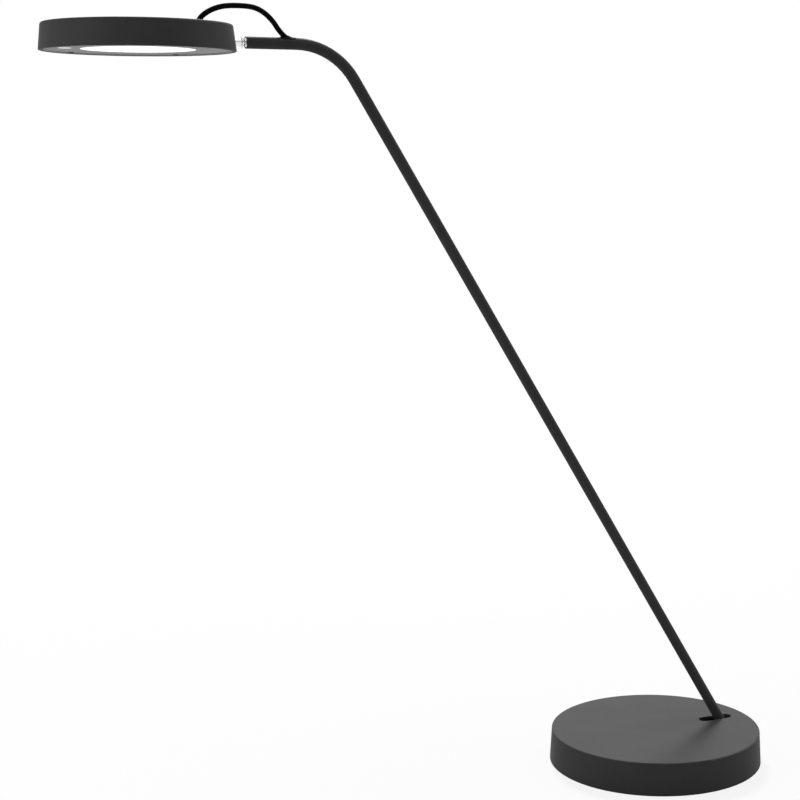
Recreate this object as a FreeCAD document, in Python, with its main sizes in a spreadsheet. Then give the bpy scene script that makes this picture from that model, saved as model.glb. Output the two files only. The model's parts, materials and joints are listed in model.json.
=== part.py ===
"""Round-headed LED desk lamp on a weighted round base, as a parametric assembly.

A thin bent tube stands in a slot of the base and turns there on a friction hinge. At its far
end a small tilting fork carries a turning stem, and the flat lamp head turns on that stem. One
lead runs from the inlet through the tube, loops over the tilting joint and enters the head.
The ballast under the base's cover is the counterweight. Millimetres and degrees, +Z up, with the
origin at the centre of the face that rests on the desk; the arm lies in the XZ plane.
"""

import FreeCAD, Part
import math
import os
import re

import Sketcher

Vector = FreeCAD.Vector
UP, ALONG_X, ALONG_Y = "up", "along_x", "along_y"

# Driving dimensions: (alias, value, what it measures)
SIZES = [
    # cover of the base
    ("base_radius", 85.0, "radius of the cover at its lower edge"),
    ("base_height", 26.0, "height of the cover"),
    ("base_taper", 3.3, "inward lean of the cover's side, degrees"),
    ("base_edge_round", 1.0, "round of the cover's top edge"),
    ("base_foot_round", 0.5, "round of the cover's lower edge"),
    ("cover_wall", 2.0, "side wall of the cover"),
    ("cover_roof", 2.5, "thickness of the cover's top"),
    ("slot_inset", 29.15, "middle of the arm slot, in from the cover's radius"),
    ("slot_length", 29.3, "arm slot, end to end"),
    ("slot_width", 9.6, "arm slot, across"),
    ("post_radius", 4.5, "screw posts under the cover"),
    ("post_inset", 23.0, "screw posts, in from the cover's radius"),
    # what closes and loads the base
    ("pad_height", 1.5, "anti-slip disc, and the gap under the cover"),
    ("pad_inset", 5.0, "anti-slip disc, in from the cover's radius"),
    ("plate_thickness", 2.0, "base plate"),
    ("plate_gap", 0.25, "round the base plate"),
    ("ballast_gap", 1.0, "round the ballast, at its top"),
    ("ballast_air", 0.3, "between ballast and cover top"),
    ("post_gap", 0.4, "between a screw post and the ballast"),
    ("well_inset", 48.0, "near side of the hinge well, in from the cover's radius"),
    ("well_width", 50.0, "hinge well, across"),
    ("lead_channel", 9.8, "channel from the inlet's pocket to the well, across"),
    ("plate_screw_head", 4.0, "radius of a base plate screw's head"),
    ("plate_screw_shank", 2.0, "radius of a base plate screw's shank"),
    ("plate_screw_length", 14.0, "base plate screw, over all"),
    ("plate_screw_sink", 2.0, "depth of a countersunk head"),
    # inlet
    ("inlet_angle", 50.0, "place of the inlet round the base, degrees"),
    ("inlet_height", 14.0, "axis of the inlet above the desk"),
    ("inlet_radius", 4.0, "barrel of the inlet"),
    ("inlet_length", 13.0, "barrel of the inlet"),
    ("inlet_bore", 2.8, "radius of the plug's hole"),
    ("inlet_depth", 9.5, "depth of the plug's hole"),
    ("inlet_flange", 5.4, "radius of the inlet's outer flange"),
    ("inlet_flange_height", 1.2, "thickness of that flange"),
    ("inlet_spot_gap", 0.3, "round the flange in its spot face"),
    ("inlet_spot_depth", 0.6, "depth of that spot face at the axis"),
    ("inlet_nut_gap", 0.6, "between nut and wall at the axis"),
    ("inlet_pin_radius", 1.0, "centre contact"),
    ("inlet_nut_radius", 6.4, "nut of the inlet, across corners, half"),
    ("inlet_nut_height", 2.0, "thickness of that nut"),
    ("inlet_lead_run", 8.2, "lead's first run behind the inlet"),
    ("inlet_pocket", 17.0, "pocket in the ballast behind the inlet, across"),
    ("inlet_pocket_inset", 26.0, "inner end of that pocket, in from the cover's radius"),
    ("pocket_floor_gap", 0.6, "between the inlet's nut and the pocket's floor"),
    ("channel_floor_gap", 0.7, "between the lead and its channel's floor"),
    # hinge of the arm
    ("arm_lean", 31.12, "lean of the arm from upright, degrees"),
    ("foot_inset", 25.68, "where the arm's axis meets the top, in from the cover's radius"),
    ("pivot_rise", 8.5, "hinge axis above the base plate"),
    ("knuckle_radius", 6.0, "barrel and socket of the knuckle"),
    ("knuckle_width", 16.0, "barrel of the knuckle, along its axis"),
    ("socket_start", 3.6, "lower end of the tube, from the hinge axis"),
    ("socket_end", 10.5, "upper end of the socket, from the hinge axis"),
    ("trunnion_radius", 2.5, "trunnion screws"),
    ("trunnion_reach", 4.6, "how far a trunnion reaches into the knuckle"),
    ("trunnion_head", 4.5, "radius of a trunnion screw's head"),
    ("trunnion_head_height", 2.5, "height of that head"),
    ("running_gap", 0.05, "radial clearance of a turning fit"),
    ("seat_gap", 0.02, "radial clearance of a fixed fit"),
    ("rub_gap", 0.1, "beside a friction washer"),
    ("washer_thickness", 1.0, "friction washers"),
    ("washer_radius", 5.7, "friction washers"),
    ("disc_spring_height", 0.7, "disc springs"),
    ("disc_spring_rim", 0.35, "thickness of a disc spring"),
    ("cheek_thickness", 2.5, "cheeks of the bracket"),
    ("cheek_radius", 7.0, "rounded top of a cheek"),
    ("web_thickness", 2.0, "foot of the bracket"),
    ("web_length", 18.0, "foot of the bracket, along X"),
    ("web_reach", 10.0, "foot of the bracket beyond each cheek"),
    ("bracket_screw_pitch", 10.0, "bracket screws, apart along X"),
    ("bracket_screw_head", 2.75, "radius of a bracket screw's head"),
    ("bracket_screw_head_height", 2.4, "height of that head"),
    ("bracket_screw_shank", 1.5, "radius of a bracket screw"),
    ("bracket_screw_length", 3.6, "below the head"),
    ("grub_radius", 1.5, "grub screws of the socket"),
    ("grub_place", 7.4, "grub screws, from the hinge axis"),
    # arm
    ("tube_radius", 4.0, "arm tube, outside"),
    ("tube_wall", 1.0, "arm tube"),
    ("bend_radius", 48.0, "centre line of the bend"),
    ("run_z", 555.7, "axis of the upper run above the desk"),
    ("run_reach", 62.44, "end face of the tube, from the corner of its centre lines"),
    ("exit_slot_place", 29.2, "middle of the lead's slot, from the end of the tube"),
    ("exit_slot_length", 10.4, "lead's slot, end to end"),
    ("lip_width", 1.0, "rubber lip round that slot"),
    ("lip_height", 0.5, "rubber lip above the tube"),
    ("lead_radius", 1.8, "lead with its jacket"),
    ("lead_air", 0.35, "round the lead"),
    ("knuckle_lead_bore", 2.4, "lead's passage in the knuckle"),
    ("lead_start", 6.4, "where the arm's lead starts, from the hinge axis"),
    ("lead_turn_radius", 8.0, "lead's turn in the knuckle"),
    ("lead_entry_radius", 4.4, "lead's turn into the knuckle"),
    ("lead_rise_radius", 6.4, "lead's turn out of the tube"),
    # tilting joint
    ("pin_inset", 2.4, "tilt axis inside the end of the tube"),
    ("nose_radius", 4.2, "rounded nose of the fork"),
    ("fork_reach", 9.0, "fork's plug inside the tube, from the tilt axis"),
    ("fork_slot", 2.6, "slot of the fork"),
    ("fork_slot_end", 3.2, "end of that slot, from the tilt axis"),
    ("tongue_gap", 0.1, "each side of the tongue"),
    ("eye_radius", 2.4, "eye of the tongue"),
    ("tongue_height", 2.8, "neck of the tongue"),
    ("tilt_pin_radius", 0.8, "tilt pin"),
    ("flange_start", 4.5, "face of the stem's flange, from the tilt axis"),
    ("flange_thickness", 1.1, "flange of the stem"),
    ("flange_radius", 4.1, "flange of the stem"),
    ("stem_radius", 2.25, "turning stem"),
    # lamp head
    ("head_gap", 10.75, "tilt axis to the rim of the head"),
    ("stem_above_rim", 7.12, "stem above the lower rim of the head"),
    ("head_radius", 63.65, "head at its lower rim"),
    ("head_height", 17.25, "height of the head"),
    ("head_taper", 6.5, "inward lean of the head's side, degrees"),
    ("head_edge_round", 1.5, "round of the head's top edge"),
    ("head_rim_round", 0.4, "round of the head's lower rim"),
    ("head_wall", 1.6, "side wall of the head"),
    ("head_roof", 1.8, "top of the head"),
    ("rim_width", 3.15, "lower rim of the head, from outside to its opening"),
    ("bezel_gap", 0.1, "round the bezel"),
    ("bezel_recess", 0.9, "bezel above the lower rim"),
    ("bezel_thickness", 1.6, "bezel"),
    ("bezel_screw_inset", 6.15, "bezel screws, in from the head's radius"),
    ("bezel_screw_angle", 52.0, "bezel screws, degrees from the arm's line"),
    ("bezel_screw_head", 1.9, "radius of a bezel screw's head"),
    ("bezel_screw_sink", 0.9, "depth of its countersink"),
    ("bezel_screw_shank", 1.0, "radius of a bezel screw"),
    ("bezel_screw_length", 7.0, "bezel screw, over all"),
    ("bezel_post", 3.0, "screw posts above the bezel"),
    ("window_inset", 26.25, "light opening of the bezel, in from the head's radius"),
    ("diffuser_gap", 0.25, "round the diffuser in that opening"),
    ("diffuser_recess", 0.3, "diffuser above the bezel's face"),
    ("diffuser_ledge", 2.1, "ledge of the diffuser beyond the opening"),
    ("diffuser_ledge_height", 1.5, "thickness of that ledge"),
    ("reflector_height", 4.0, "reflector ring"),
    ("reflector_wall", 1.2, "reflector ring, at its top"),
    ("reflector_ledge", 4.1, "reflector ring beyond the light opening, outside"),
    ("reflector_lip", 0.4, "reflector ring beyond the light opening, inside at its foot"),
    ("board_gap", 1.0, "LED board inside the reflector's radius"),
    ("board_thickness", 1.2, "LED board"),
    ("chip_length", 3.5, "LED chip"),
    ("chip_width", 2.8, "LED chip"),
    ("chip_height", 0.8, "LED chip"),
    ("outer_chip_inset", 6.4, "outer ring of chips, in from the light opening"),
    ("inner_chip_inset", 21.4, "inner ring of chips, in from the light opening"),
    ("sink_ledge", 10.6, "heat spreader beyond the light opening"),
    ("sink_thickness", 1.8, "heat spreader"),
    ("sink_notch_inset", 6.5, "notch of the spreader, in from the bearing block"),
    ("sink_notch_width", 12.0, "notch of the spreader, across"),
    ("sink_post", 3.0, "screw posts of the spreader"),
    ("sink_post_inset", 3.5, "screw posts of the spreader, in from its edge"),
    ("sink_screw_head", 2.6, "radius of a spreader screw's head"),
    ("sink_screw_head_height", 2.0, "height of that head"),
    ("sink_screw_shank", 1.4, "radius of a spreader screw"),
    ("sink_screw_length", 5.0, "below the head"),
    # stem's bearing in the head
    ("block_length", 9.8, "bearing block, along the stem"),
    ("block_inset", 4.85, "outer face of the bearing block, in from the head's radius"),
    ("block_width", 18.0, "bearing block, across"),
    ("block_bottom", 3.0, "bearing block above the rim"),
    ("block_top", 12.5, "bearing block against its pad"),
    ("bush_radius", 3.0, "bush, outside"),
    ("bush_flange", 4.2, "flange of the bush"),
    ("bush_flange_height", 0.7, "thickness of that flange"),
    ("ring_radius", 4.0, "retaining rings"),
    ("ring_thickness", 0.7, "retaining rings"),
    ("ring_groove", 0.45, "depth of their grooves"),
    ("wave_thickness", 0.7, "wave washer"),
    ("wave_radius", 3.7, "wave washer"),
    ("stem_tail", 1.2, "stem beyond its inner ring"),
    ("stem_wall_gap", 0.35, "round the stem in the wall"),
    ("block_screw_y", 6.3, "block screws from the middle"),
    ("block_screw_head", 2.6, "radius of a block screw's head"),
    ("block_screw_sink", 1.6, "counterbore of a block screw"),
    ("block_screw_shank", 1.4, "radius of a block screw"),
    ("block_screw_length", 9.5, "below the head"),
    # lead's entry into the head
    ("entry_gap", 25.0, "middle of the lead's hole, in from the head's radius"),
    ("entry_bore", 2.8, "grommet, inside"),
    ("grommet_radius", 3.5, "grommet in its hole"),
    ("grommet_lip", 4.5, "lips of the grommet"),
    ("grommet_lip_height", 0.5, "thickness of its lips"),
    # dimmer
    ("button_inset", 16.25, "button, in from the head's radius"),
    ("button_radius", 4.3, "button cap"),
    ("button_gap", 0.3, "round the button"),
    ("button_recess", 0.2, "button above the bezel's face"),
    ("button_flange", 5.3, "flange of the button"),
    ("button_flange_height", 0.55, "thickness of that flange"),
    ("button_seat", 0.05, "flange above the bezel"),
    ("dome_height", 0.9, "spring dome at rest"),
    ("dome_radius", 1.6, "spring dome"),
    ("switch_side", 6.0, "push switch"),
    ("switch_height", 2.0, "push switch"),
    ("switch_board_length", 10.0, "switch board, along X"),
    ("switch_board_width", 17.2, "switch board, along Y"),
    ("switch_board_thickness", 1.0, "switch board"),
    ("switch_post_y", 6.9, "posts of the switch board, from the middle"),
    ("switch_post", 1.3, "posts of the switch board"),
    # driver
    ("driver_inset", 12.15, "middle of the driver board, in from the head's radius"),
    ("driver_length", 28.0, "driver board, along X"),
    ("driver_width", 12.6, "driver board, along Y"),
    ("driver_post_x", 11.0, "posts of the driver board, from the middle"),
    ("driver_post", 1.6, "posts of the driver board"),
    ("driver_post_height", 2.5, "posts of the driver board"),
    ("board_screw_head", 1.4, "radius of a board screw's head"),
    ("board_screw_head_height", 1.0, "height of that head"),
    ("board_screw_shank", 0.7, "radius of a board screw"),
    ("board_screw_length", 2.8, "below the head"),
    ("wire_radius", 0.7, "inner wires"),
    ("switch_wire_radius", 0.5, "wire of the switch"),
]

# Worked out from the driving dimensions
DERIVED = {
    "base_top": "pad_height + base_height",
    "slot_centre": "base_radius - slot_inset",
    "post_circle": "base_radius - post_inset",
    "pad_radius": "base_radius - pad_inset",
    "well_start": "base_radius - well_inset",
    "inlet_pocket_start": "base_radius - inlet_pocket_inset",
    "foot_x": "base_radius - foot_inset",
    "roof_under": "base_top - cover_roof",
    "plate_top": "pad_height + plate_thickness",
    "cover_top_radius": "base_radius - base_height * tan(base_taper * 1deg)",
    "ballast_radius": "cover_top_radius - cover_wall - ballast_gap",
    "pivot_z": "plate_top + pivot_rise",
    "pivot_depth": "base_top - pivot_z",
    "pivot_x": "foot_x + pivot_depth * tan(arm_lean * 1deg)",
    "cheek_face": "knuckle_width / 2 + rub_gap + washer_thickness",
    "cheek_back": "cheek_face + cheek_thickness",
    "web_half_width": "cheek_back + web_reach",
    "bracket_screw_y": "cheek_back + web_reach / 2",
    "corner_x": "pivot_x - (run_z - pivot_z) * tan(arm_lean * 1deg)",
    "bend_turn": "90 - arm_lean",
    "bend_tangent": "bend_radius * tan(bend_turn / 2 * 1deg)",
    "bend_x": "corner_x - bend_tangent",
    "leg_end": "(run_z - pivot_z) / cos(arm_lean * 1deg) - bend_tangent",
    "tube_bore": "tube_radius - tube_wall",
    "tube_end_x": "corner_x - run_reach",
    "exit_slot_x": "tube_end_x + exit_slot_place",
    "tilt_x": "tube_end_x + pin_inset",
    "head_reach": "head_radius + head_gap",
    "head_x": "tilt_x - head_reach",
    "head_z": "run_z - stem_above_rim",
    "head_top_radius": "head_radius - head_height * tan(head_taper * 1deg)",
    "ceiling": "head_height - head_roof",
    "rim_bore": "head_radius - rim_width",
    "bezel_top": "bezel_recess + bezel_thickness",
    "window_radius": "head_radius - window_inset",
    "bezel_screw_circle": "head_radius - bezel_screw_inset",
    "bezel_radius": "rim_bore - bezel_gap",
    "diffuser_face": "bezel_recess + diffuser_recess",
    "diffuser_radius": "window_radius - diffuser_gap",
    "reflector_z": "bezel_top + diffuser_ledge_height",
    "reflector_radius": "window_radius + reflector_ledge",
    "reflector_foot": "window_radius + reflector_lip",
    "outer_chip_circle": "window_radius - outer_chip_inset",
    "inner_chip_circle": "window_radius - inner_chip_inset",
    "board_z": "reflector_z + reflector_height",
    "board_radius": "reflector_radius - board_gap",
    "sink_z": "board_z + board_thickness",
    "sink_radius": "window_radius + sink_ledge",
    "sink_post_circle": "sink_radius - sink_post_inset",
    "block_end": "head_radius - block_inset",
    "block_start": "block_end - block_length",
    "sink_notch_start": "block_start - sink_notch_inset",
    "entry_x": "head_radius - entry_gap",
    "button_x": "head_radius - button_inset",
    "driver_y": "head_radius - driver_inset",
    "sink_top": "sink_z + sink_thickness",
    "wave_start": "block_start - bush_flange_height - wave_thickness - rub_gap",
    "inner_ring_start": "wave_start - ring_thickness - rub_gap",
    "outer_ring_start": "block_end + 3 * rub_gap",
    "stem_end": "inner_ring_start - stem_tail",
    "button_top": "bezel_top + button_seat + button_flange_height",
    "switch_z": "button_top + dome_height",
    "switch_board_z": "switch_z + switch_height",
    "driver_z": "bezel_top + driver_post_height",
    "inlet_wall": "base_radius - (inlet_height - pad_height) * tan(base_taper * 1deg)",
    "inlet_face": "inlet_wall - inlet_spot_depth",
}

PLATE_SCREW_ANGLES = (70, 190, 310)
SINK_POST_ANGLES = (30, 150, 270)
OUTER_CHIPS = 18
INNER_CHIPS = 9
SIDES = (-1, 1)

# Routes chosen by hand. In the base, from behind the inlet to the knuckle; x counts from the
# hinge axis, y and z from the lamp's origin
BASE_LEAD = [
    (-29.0, 30.5, 14.0),
    (-22.7, 21.5, 14.0),
    (-6.7, 20.0, 13.8),
    (7.8, 17.5, 13.2),
    (10.9, 9.0, 12.4),
    (11.3, 0.0, 12.0),
]
# The free loop over the tilting joint, in two halves that meet above it, from the tilt axis
LOOP_ARM = [
    (25.4, 0.0, 4.3),
    (21.6, 0.0, 7.5),
    (16.7, 0.0, 15.05),
    (9.9, 0.0, 20.95),
    (1.9, 0.0, 23.86),
    (-6.1, 0.0, 23.86),
]
LOOP_HEAD = [
    (-6.1, 0.0, 23.86),
    (-13.4, 0.0, 23.86),
    (-21.4, 0.0, 22.25),
    (-28.5, 0.0, 18.9),
    (-33.8, 0.0, 14.3),
    (-36.3, 0.0, 7.9),
]
# Wires inside the head: in from the head's radius, degrees round it, height above the rim
HEAD_WIRE = [
    (25.6, 1.2, 14.7),
    (26.4, 1.2, 12.7),
    (30.4, 21.2, 12.6),
    (20.2, 51.5, 12.6),
    (11.1, 68.8, 12.6),
    (9.9, 80.4, 12.4),
    (10.0, 81.4, 6.45),
]
WIRE_STEP = (0.0, -1.6, 0.0)
SWITCH_WIRE = [
    (12.8, 174.4, 7.9),
    (11.5, 162.1, 8.2),
    (12.8, 146.6, 8.2),
    (13.4, 129.7, 8.2),
    (13.5, 113.5, 8.2),
    (12.2, 103.5, 6.9),
]
FREE_SHARE = 0.45

doc = FreeCAD.newDocument("desk_lamp")
sheet = doc.addObject("Spreadsheet::Sheet", "sizes")
for row, (alias, number, note) in enumerate(SIZES, start=1):
    sheet.set(f"A{row}", note)
    sheet.set(f"B{row}", str(number))
    sheet.setAlias(f"B{row}", alias)
doc.recompute()

ALIASES = {alias for alias, number, note in SIZES}
WORD = re.compile(r"[a-z][a-z_0-9]*")
nodes = []


def link(text):
    """The expression with each size named in the sheet, and each derived size worked out."""

    def swap(found):
        word = found.group(0)
        if word in DERIVED:
            return "(" + link(DERIVED[word]) + ")"
        if word in ALIASES:
            return "sizes." + word
        return word

    return re.sub(r"(?<![0-9a-z_.])" + WORD.pattern, swap, str(text))


def value(text):
    """The number that an expression of sizes comes to."""
    found = sheet.evalExpression(link(text))
    return float(getattr(found, "Value", found))


def bind(obj, prop, text):
    """Ties one property of an object to the sheet."""
    obj.setExpression(prop, link(text))


def place(obj, at=("0", "0", "0"), about=None, angle="0"):
    """Puts an object at a point, turned by an angle about an axis."""
    axis = Vector(*(about or (0, 0, 1)))
    start = FreeCAD.Rotation(axis, value(angle))
    obj.Placement = FreeCAD.Placement(Vector(*[value(c) for c in at]), start)
    for letter, text in zip("xyz", at):
        bind(obj, f"Placement.Base.{letter}", text)
    if about is not None:
        bind(obj, "Placement.Rotation.Angle", angle)
    return obj


TURNS = {UP: (None, "0"), ALONG_X: ((0, 1, 0), "90"), ALONG_Y: ((1, 0, 0), "-90")}


def cylinder(name, radius, length, at=("0", "0", "0"), way=UP):
    """A cylinder from a point, along Z, X or Y."""
    obj = doc.addObject("Part::Cylinder", name)
    bind(obj, "Radius", radius)
    bind(obj, "Height", length)
    about, angle = TURNS[way]
    return place(obj, at, about, angle)


def cone(name, first, second, length, at=("0", "0", "0"), way=UP):
    """A cone from a point: its first radius lies there."""
    obj = doc.addObject("Part::Cone", name)
    bind(obj, "Radius1", first)
    bind(obj, "Radius2", second)
    bind(obj, "Height", length)
    about, angle = TURNS[way]
    return place(obj, at, about, angle)


def box(name, size, corner):
    """A box from its lowest corner."""
    obj = doc.addObject("Part::Box", name)
    for prop, text in zip(("Length", "Width", "Height"), size):
        bind(obj, prop, text)
    return place(obj, corner)


def sphere(name, radius, at=("0", "0", "0")):
    """A full sphere."""
    obj = doc.addObject("Part::Sphere", name)
    bind(obj, "Radius", radius)
    return place(obj, at)


def prism(name, corner_radius, length, at=("0", "0", "0"), way=UP):
    """A six-sided prism, as a nut or a key's recess."""
    obj = doc.addObject("Part::Prism", name)
    obj.Polygon = 6
    bind(obj, "Circumradius", corner_radius)
    bind(obj, "Height", length)
    about, angle = TURNS[way]
    return place(obj, at, about, angle)


def fuse(name, members):
    """One solid from several that touch or overlap."""
    obj = doc.addObject("Part::MultiFuse", name)
    obj.Shapes = members
    obj.Refine = True
    return obj


def cut(name, base, tools):
    """A solid less its tools."""
    obj = doc.addObject("Part::Cut", name)
    obj.Base = base
    obj.Tool = tools[0] if len(tools) == 1 else fuse(name + "_tools", tools)
    obj.Refine = True
    return obj


def common(name, members):
    """What several solids share."""
    obj = doc.addObject("Part::MultiCommon", name)
    obj.Shapes = members
    return obj


def group(name, members):
    """Separate solids that share one node."""
    obj = doc.addObject("Part::Compound", name)
    obj.Links = members
    return obj


def node(obj, label, at=None, about=None, angle="0"):
    """Names a finished sub-part, and puts it in its frame."""
    obj.Label = label
    if at is not None:
        place(obj, at, about, angle)
    nodes.append(obj)
    return obj


def origin_plane(body, role):
    """One of a body's own three origin planes."""
    return next(f for f in body.Origin.OriginFeatures if f.Role == role)


def outline(body, name, points):
    """A closed outline of straight lines in the body's XZ plane, each corner tied to the sheet."""
    sketch = body.newObject("Sketcher::SketchObject", name)
    sketch.AttachmentSupport = [(origin_plane(body, "XZ_Plane"), "")]
    sketch.MapMode = "FlatFace"
    spots = [Vector(value(x), value(z), 0) for x, z in points]
    for here, there in zip(spots, spots[1:] + spots[:1]):
        sketch.addGeometry(Part.LineSegment(here, there), False)
    for i in range(len(points)):
        sketch.addConstraint(Sketcher.Constraint("Coincident", i, 2, (i + 1) % len(points), 1))
    for i, (corner, spot) in enumerate(zip(points, spots)):
        for kind, text, number in zip(("DistanceX", "DistanceY"), corner, (spot.x, spot.y)):
            at = sketch.addConstraint(Sketcher.Constraint(kind, -1, 1, i, 1, number))
            sketch.setExpression(f"Constraints[{at}]", link(text))
    return sketch


def turned(name, points):
    """A body turned about its Z axis from an outline."""
    body = doc.addObject("PartDesign::Body", name)
    profile = outline(body, name + "_outline", points)
    feature = body.newObject("PartDesign::Revolution", name + "_turn")
    feature.Profile = profile
    feature.ReferenceAxis = (profile, ["V_Axis"])
    feature.Angle = 360
    return body


def rounded(body, name, radius, circle_radius, height):
    """Rounds the circular edge of a body at a radius and a height."""
    doc.recompute()
    reach, level = value(circle_radius), value(height)
    names = [
        f"Edge{i}"
        for i, edge in enumerate(body.Shape.Edges, start=1)
        if hasattr(edge.Curve, "Radius")
        and abs(edge.Curve.Radius - reach) < 1e-4
        and abs(edge.Curve.Center.z - level) < 1e-4
    ]
    if not names:
        raise RuntimeError(f"{body.Name}: no edge to round for {name}")
    feature = body.newObject("PartDesign::Fillet", name)
    feature.Base = (body.Tip if body.Tip != feature else feature.BaseFeature, names)
    bind(feature, "Radius", radius)
    return body


def obround(name, length, width, height, at):
    """A slot's shape: a box with round ends, along X, from its middle and its lowest face."""
    x, y, z = at
    straight = f"({length}) - ({width})"
    middle = box(
        name + "_middle",
        (straight, width, height),
        (f"{x} - ({straight}) / 2", f"{y} - ({width}) / 2", z),
    )
    ends = [
        cylinder(
            f"{name}_end_{i}", f"({width}) / 2", height, (f"{x} + {side} * ({straight}) / 2", y, z)
        )
        for i, side in enumerate(SIDES)
    ]
    return fuse(name, [middle, *ends])


def cap_screw(name, head, head_height, shank, length, key=0.5):
    """A cap screw: its head above the origin, its shank below, a six-sided recess in the head."""
    body = fuse(
        name + "_body",
        [
            cylinder(name + "_head", head, head_height),
            cylinder(
                name + "_shank", shank, f"{length} + {head_height} / 2", ("0", "0", f"-({length})"),
            ),
        ],
    )
    recess = prism(name + "_key", f"{head} * {key}", head_height, ("0", "0", f"{head_height} / 2"))
    return cut(name, body, [recess])


def sunk_screw(name, head, sink, shank, length):
    """A countersunk screw: its face at the origin, its shank below, with a cross recess."""
    body = fuse(
        name + "_body",
        [
            cone(name + "_head", shank, head, sink, ("0", "0", f"-({sink})")),
            cylinder(name + "_shank", shank, f"{length} - {sink} / 2", ("0", "0", f"-({length})")),
        ],
    )
    bars = [
        box(
            f"{name}_bar_{i}",
            (f"{head} * {long}", f"{head} * {wide}", sink),
            (f"-({head}) * {long / 2}", f"-({head}) * {wide / 2}", f"-({sink}) * 0.6"),
        )
        for i, (long, wide) in enumerate(((1.1, 0.25), (0.25, 1.1)))
    ]
    return cut(name, body, bars)


def on_circle(radius, angle):
    """A point on a circle, as two expressions."""
    return f"({radius}) * cos({angle} * 1deg)", f"({radius}) * sin({angle} * 1deg)"


def tube_along(name, points, radius, share=FREE_SHARE, arcs=None):
    """A round tube along straight runs joined by tangent arcs.

    Each arc's radius is a share of its shorter run over the tangent of half its turn, or the
    radius that arcs gives for that corner. Its volume is compared with section times length.
    """
    spots = [Vector(*p) for p in points]
    edges, start, radii = [], spots[0], []
    for i in range(1, len(spots) - 1):
        back, on = spots[i - 1] - spots[i], spots[i + 1] - spots[i]
        turn = math.pi - back.getAngle(on)
        bend = share * min(back.Length, on.Length) / math.tan(turn / 2)
        bend = (arcs or {}).get(i, bend)
        inset = bend * math.tan(turn / 2)
        first = spots[i] + back.normalize() * inset
        last = spots[i] + on.normalize() * inset
        middle = spots[i] + (back + on).normalize() * (bend / math.cos(turn / 2) - bend)
        if (first - start).Length > 1e-6:
            edges.append(Part.LineSegment(start, first).toShape())
        edges.append(Part.Arc(first, middle, last).toShape())
        start = last
        radii.append(bend)
    edges.append(Part.LineSegment(start, spots[-1]).toShape())
    wire = Part.Wire(edges)
    heading = spots[1] - spots[0]
    ring = Part.Wire([Part.Circle(spots[0], heading, radius).toShape()])
    shape = wire.makePipeShell([ring], True, False)
    expected = math.pi * radius**2 * wire.Length
    if abs(shape.Volume - expected) > 0.002 * expected:
        raise RuntimeError(f"{name}: volume {shape.Volume:.1f}, expected {expected:.1f}")
    print(f"{name}: length {wire.Length:.1f}, radii {[round(r, 1) for r in radii]}")
    obj = doc.addObject("Part::Feature", name)
    obj.Shape = shape
    return obj


HEAD_FRAME = ("head_x", "0", "head_z")
PIVOT_FRAME = ("pivot_x", "0", "pivot_z")
TILT_FRAME = ("tilt_x", "0", "run_z")
INLET_FRAME = ("0", "0", "inlet_height")


# ---- base ----
def make_anti_slip_pad():
    """The rubber disc that the lamp stands on; it hides the plate's screws."""
    node(cylinder("pad", "pad_radius", "pad_height"), "anti_slip_pad", ("0", "0", "0"))


def plate_screw_spots():
    """Where the base plate's screws stand."""
    return [on_circle("post_circle", angle) for angle in PLATE_SCREW_ANGLES]


def make_base_cover():
    """The pressed cover, with the arm's slot, screw posts and the hole of the inlet."""
    low_inside = "base_radius - cover_wall"
    high_inside = "base_radius - (base_height - cover_roof) * tan(base_taper * 1deg) - cover_wall"
    cup = turned(
        "cover_cup",
        [
            (low_inside, "pad_height"),
            ("base_radius", "pad_height"),
            ("cover_top_radius", "base_top"),
            ("0", "base_top"),
            ("0", "roof_under"),
            (high_inside, "roof_under"),
        ],
    )
    rounded(cup, "cover_top_round", "base_edge_round", "cover_top_radius", "base_top")
    rounded(cup, "cover_foot_round", "base_foot_round", "base_radius", "pad_height")
    posts = [
        cylinder(
            f"post_{i}", "post_radius", "roof_under - plate_top + cover_roof / 2", (x, y, "plate_top"),
        )
        for i, (x, y) in enumerate(plate_screw_spots())
    ]
    threads = [
        cylinder(
            f"post_thread_{i}", "plate_screw_shank + seat_gap", "plate_screw_length",
            (x, y, "pad_height"),
        )
        for i, (x, y) in enumerate(plate_screw_spots())
    ]
    slot = obround(
        "arm_slot", "slot_length", "slot_width", "2 * cover_roof",
        ("slot_centre", "0", "roof_under - cover_roof / 2"),
    )
    hole = cylinder(
        "inlet_hole", "inlet_radius + seat_gap", "base_radius", ("base_radius / 2", "0", "0"), ALONG_X,
    )
    spot = cylinder(
        "inlet_spot", "inlet_flange + inlet_spot_gap", "base_radius / 4", ("inlet_face", "0", "0"),
        ALONG_X,
    )
    turned_hole = group("inlet_hole_turned", [fuse("inlet_hole_stepped", [hole, spot])])
    place(turned_hole, INLET_FRAME, (0, 0, 1), "inlet_angle")
    cover = cut("cover", fuse("cover_with_posts", [cup, *posts]), [*threads, slot, turned_hole])
    node(cover, "base_cover")


def make_base_plate():
    """The steel plate that closes the base, countersunk for its three screws."""
    disc = cylinder(
        "plate_disc", "base_radius - cover_wall - plate_gap", "plate_thickness",
        ("0", "0", "pad_height"),
    )
    sinks = []
    for i, (x, y) in enumerate(plate_screw_spots()):
        sinks.append(
            cone(
                f"plate_sink_{i}", "plate_screw_head + seat_gap", "plate_screw_shank + seat_gap",
                "plate_screw_sink", (x, y, "pad_height"),
            ),
        )
    threads = [
        cylinder(
            f"plate_thread_{i}", "bracket_screw_shank + seat_gap", "plate_thickness",
            (x, y, "pad_height"),
        )
        for i, (x, y) in enumerate(bracket_screw_spots())
    ]
    node(cut("plate", disc, [*sinks, *threads]), "base_plate")


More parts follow.
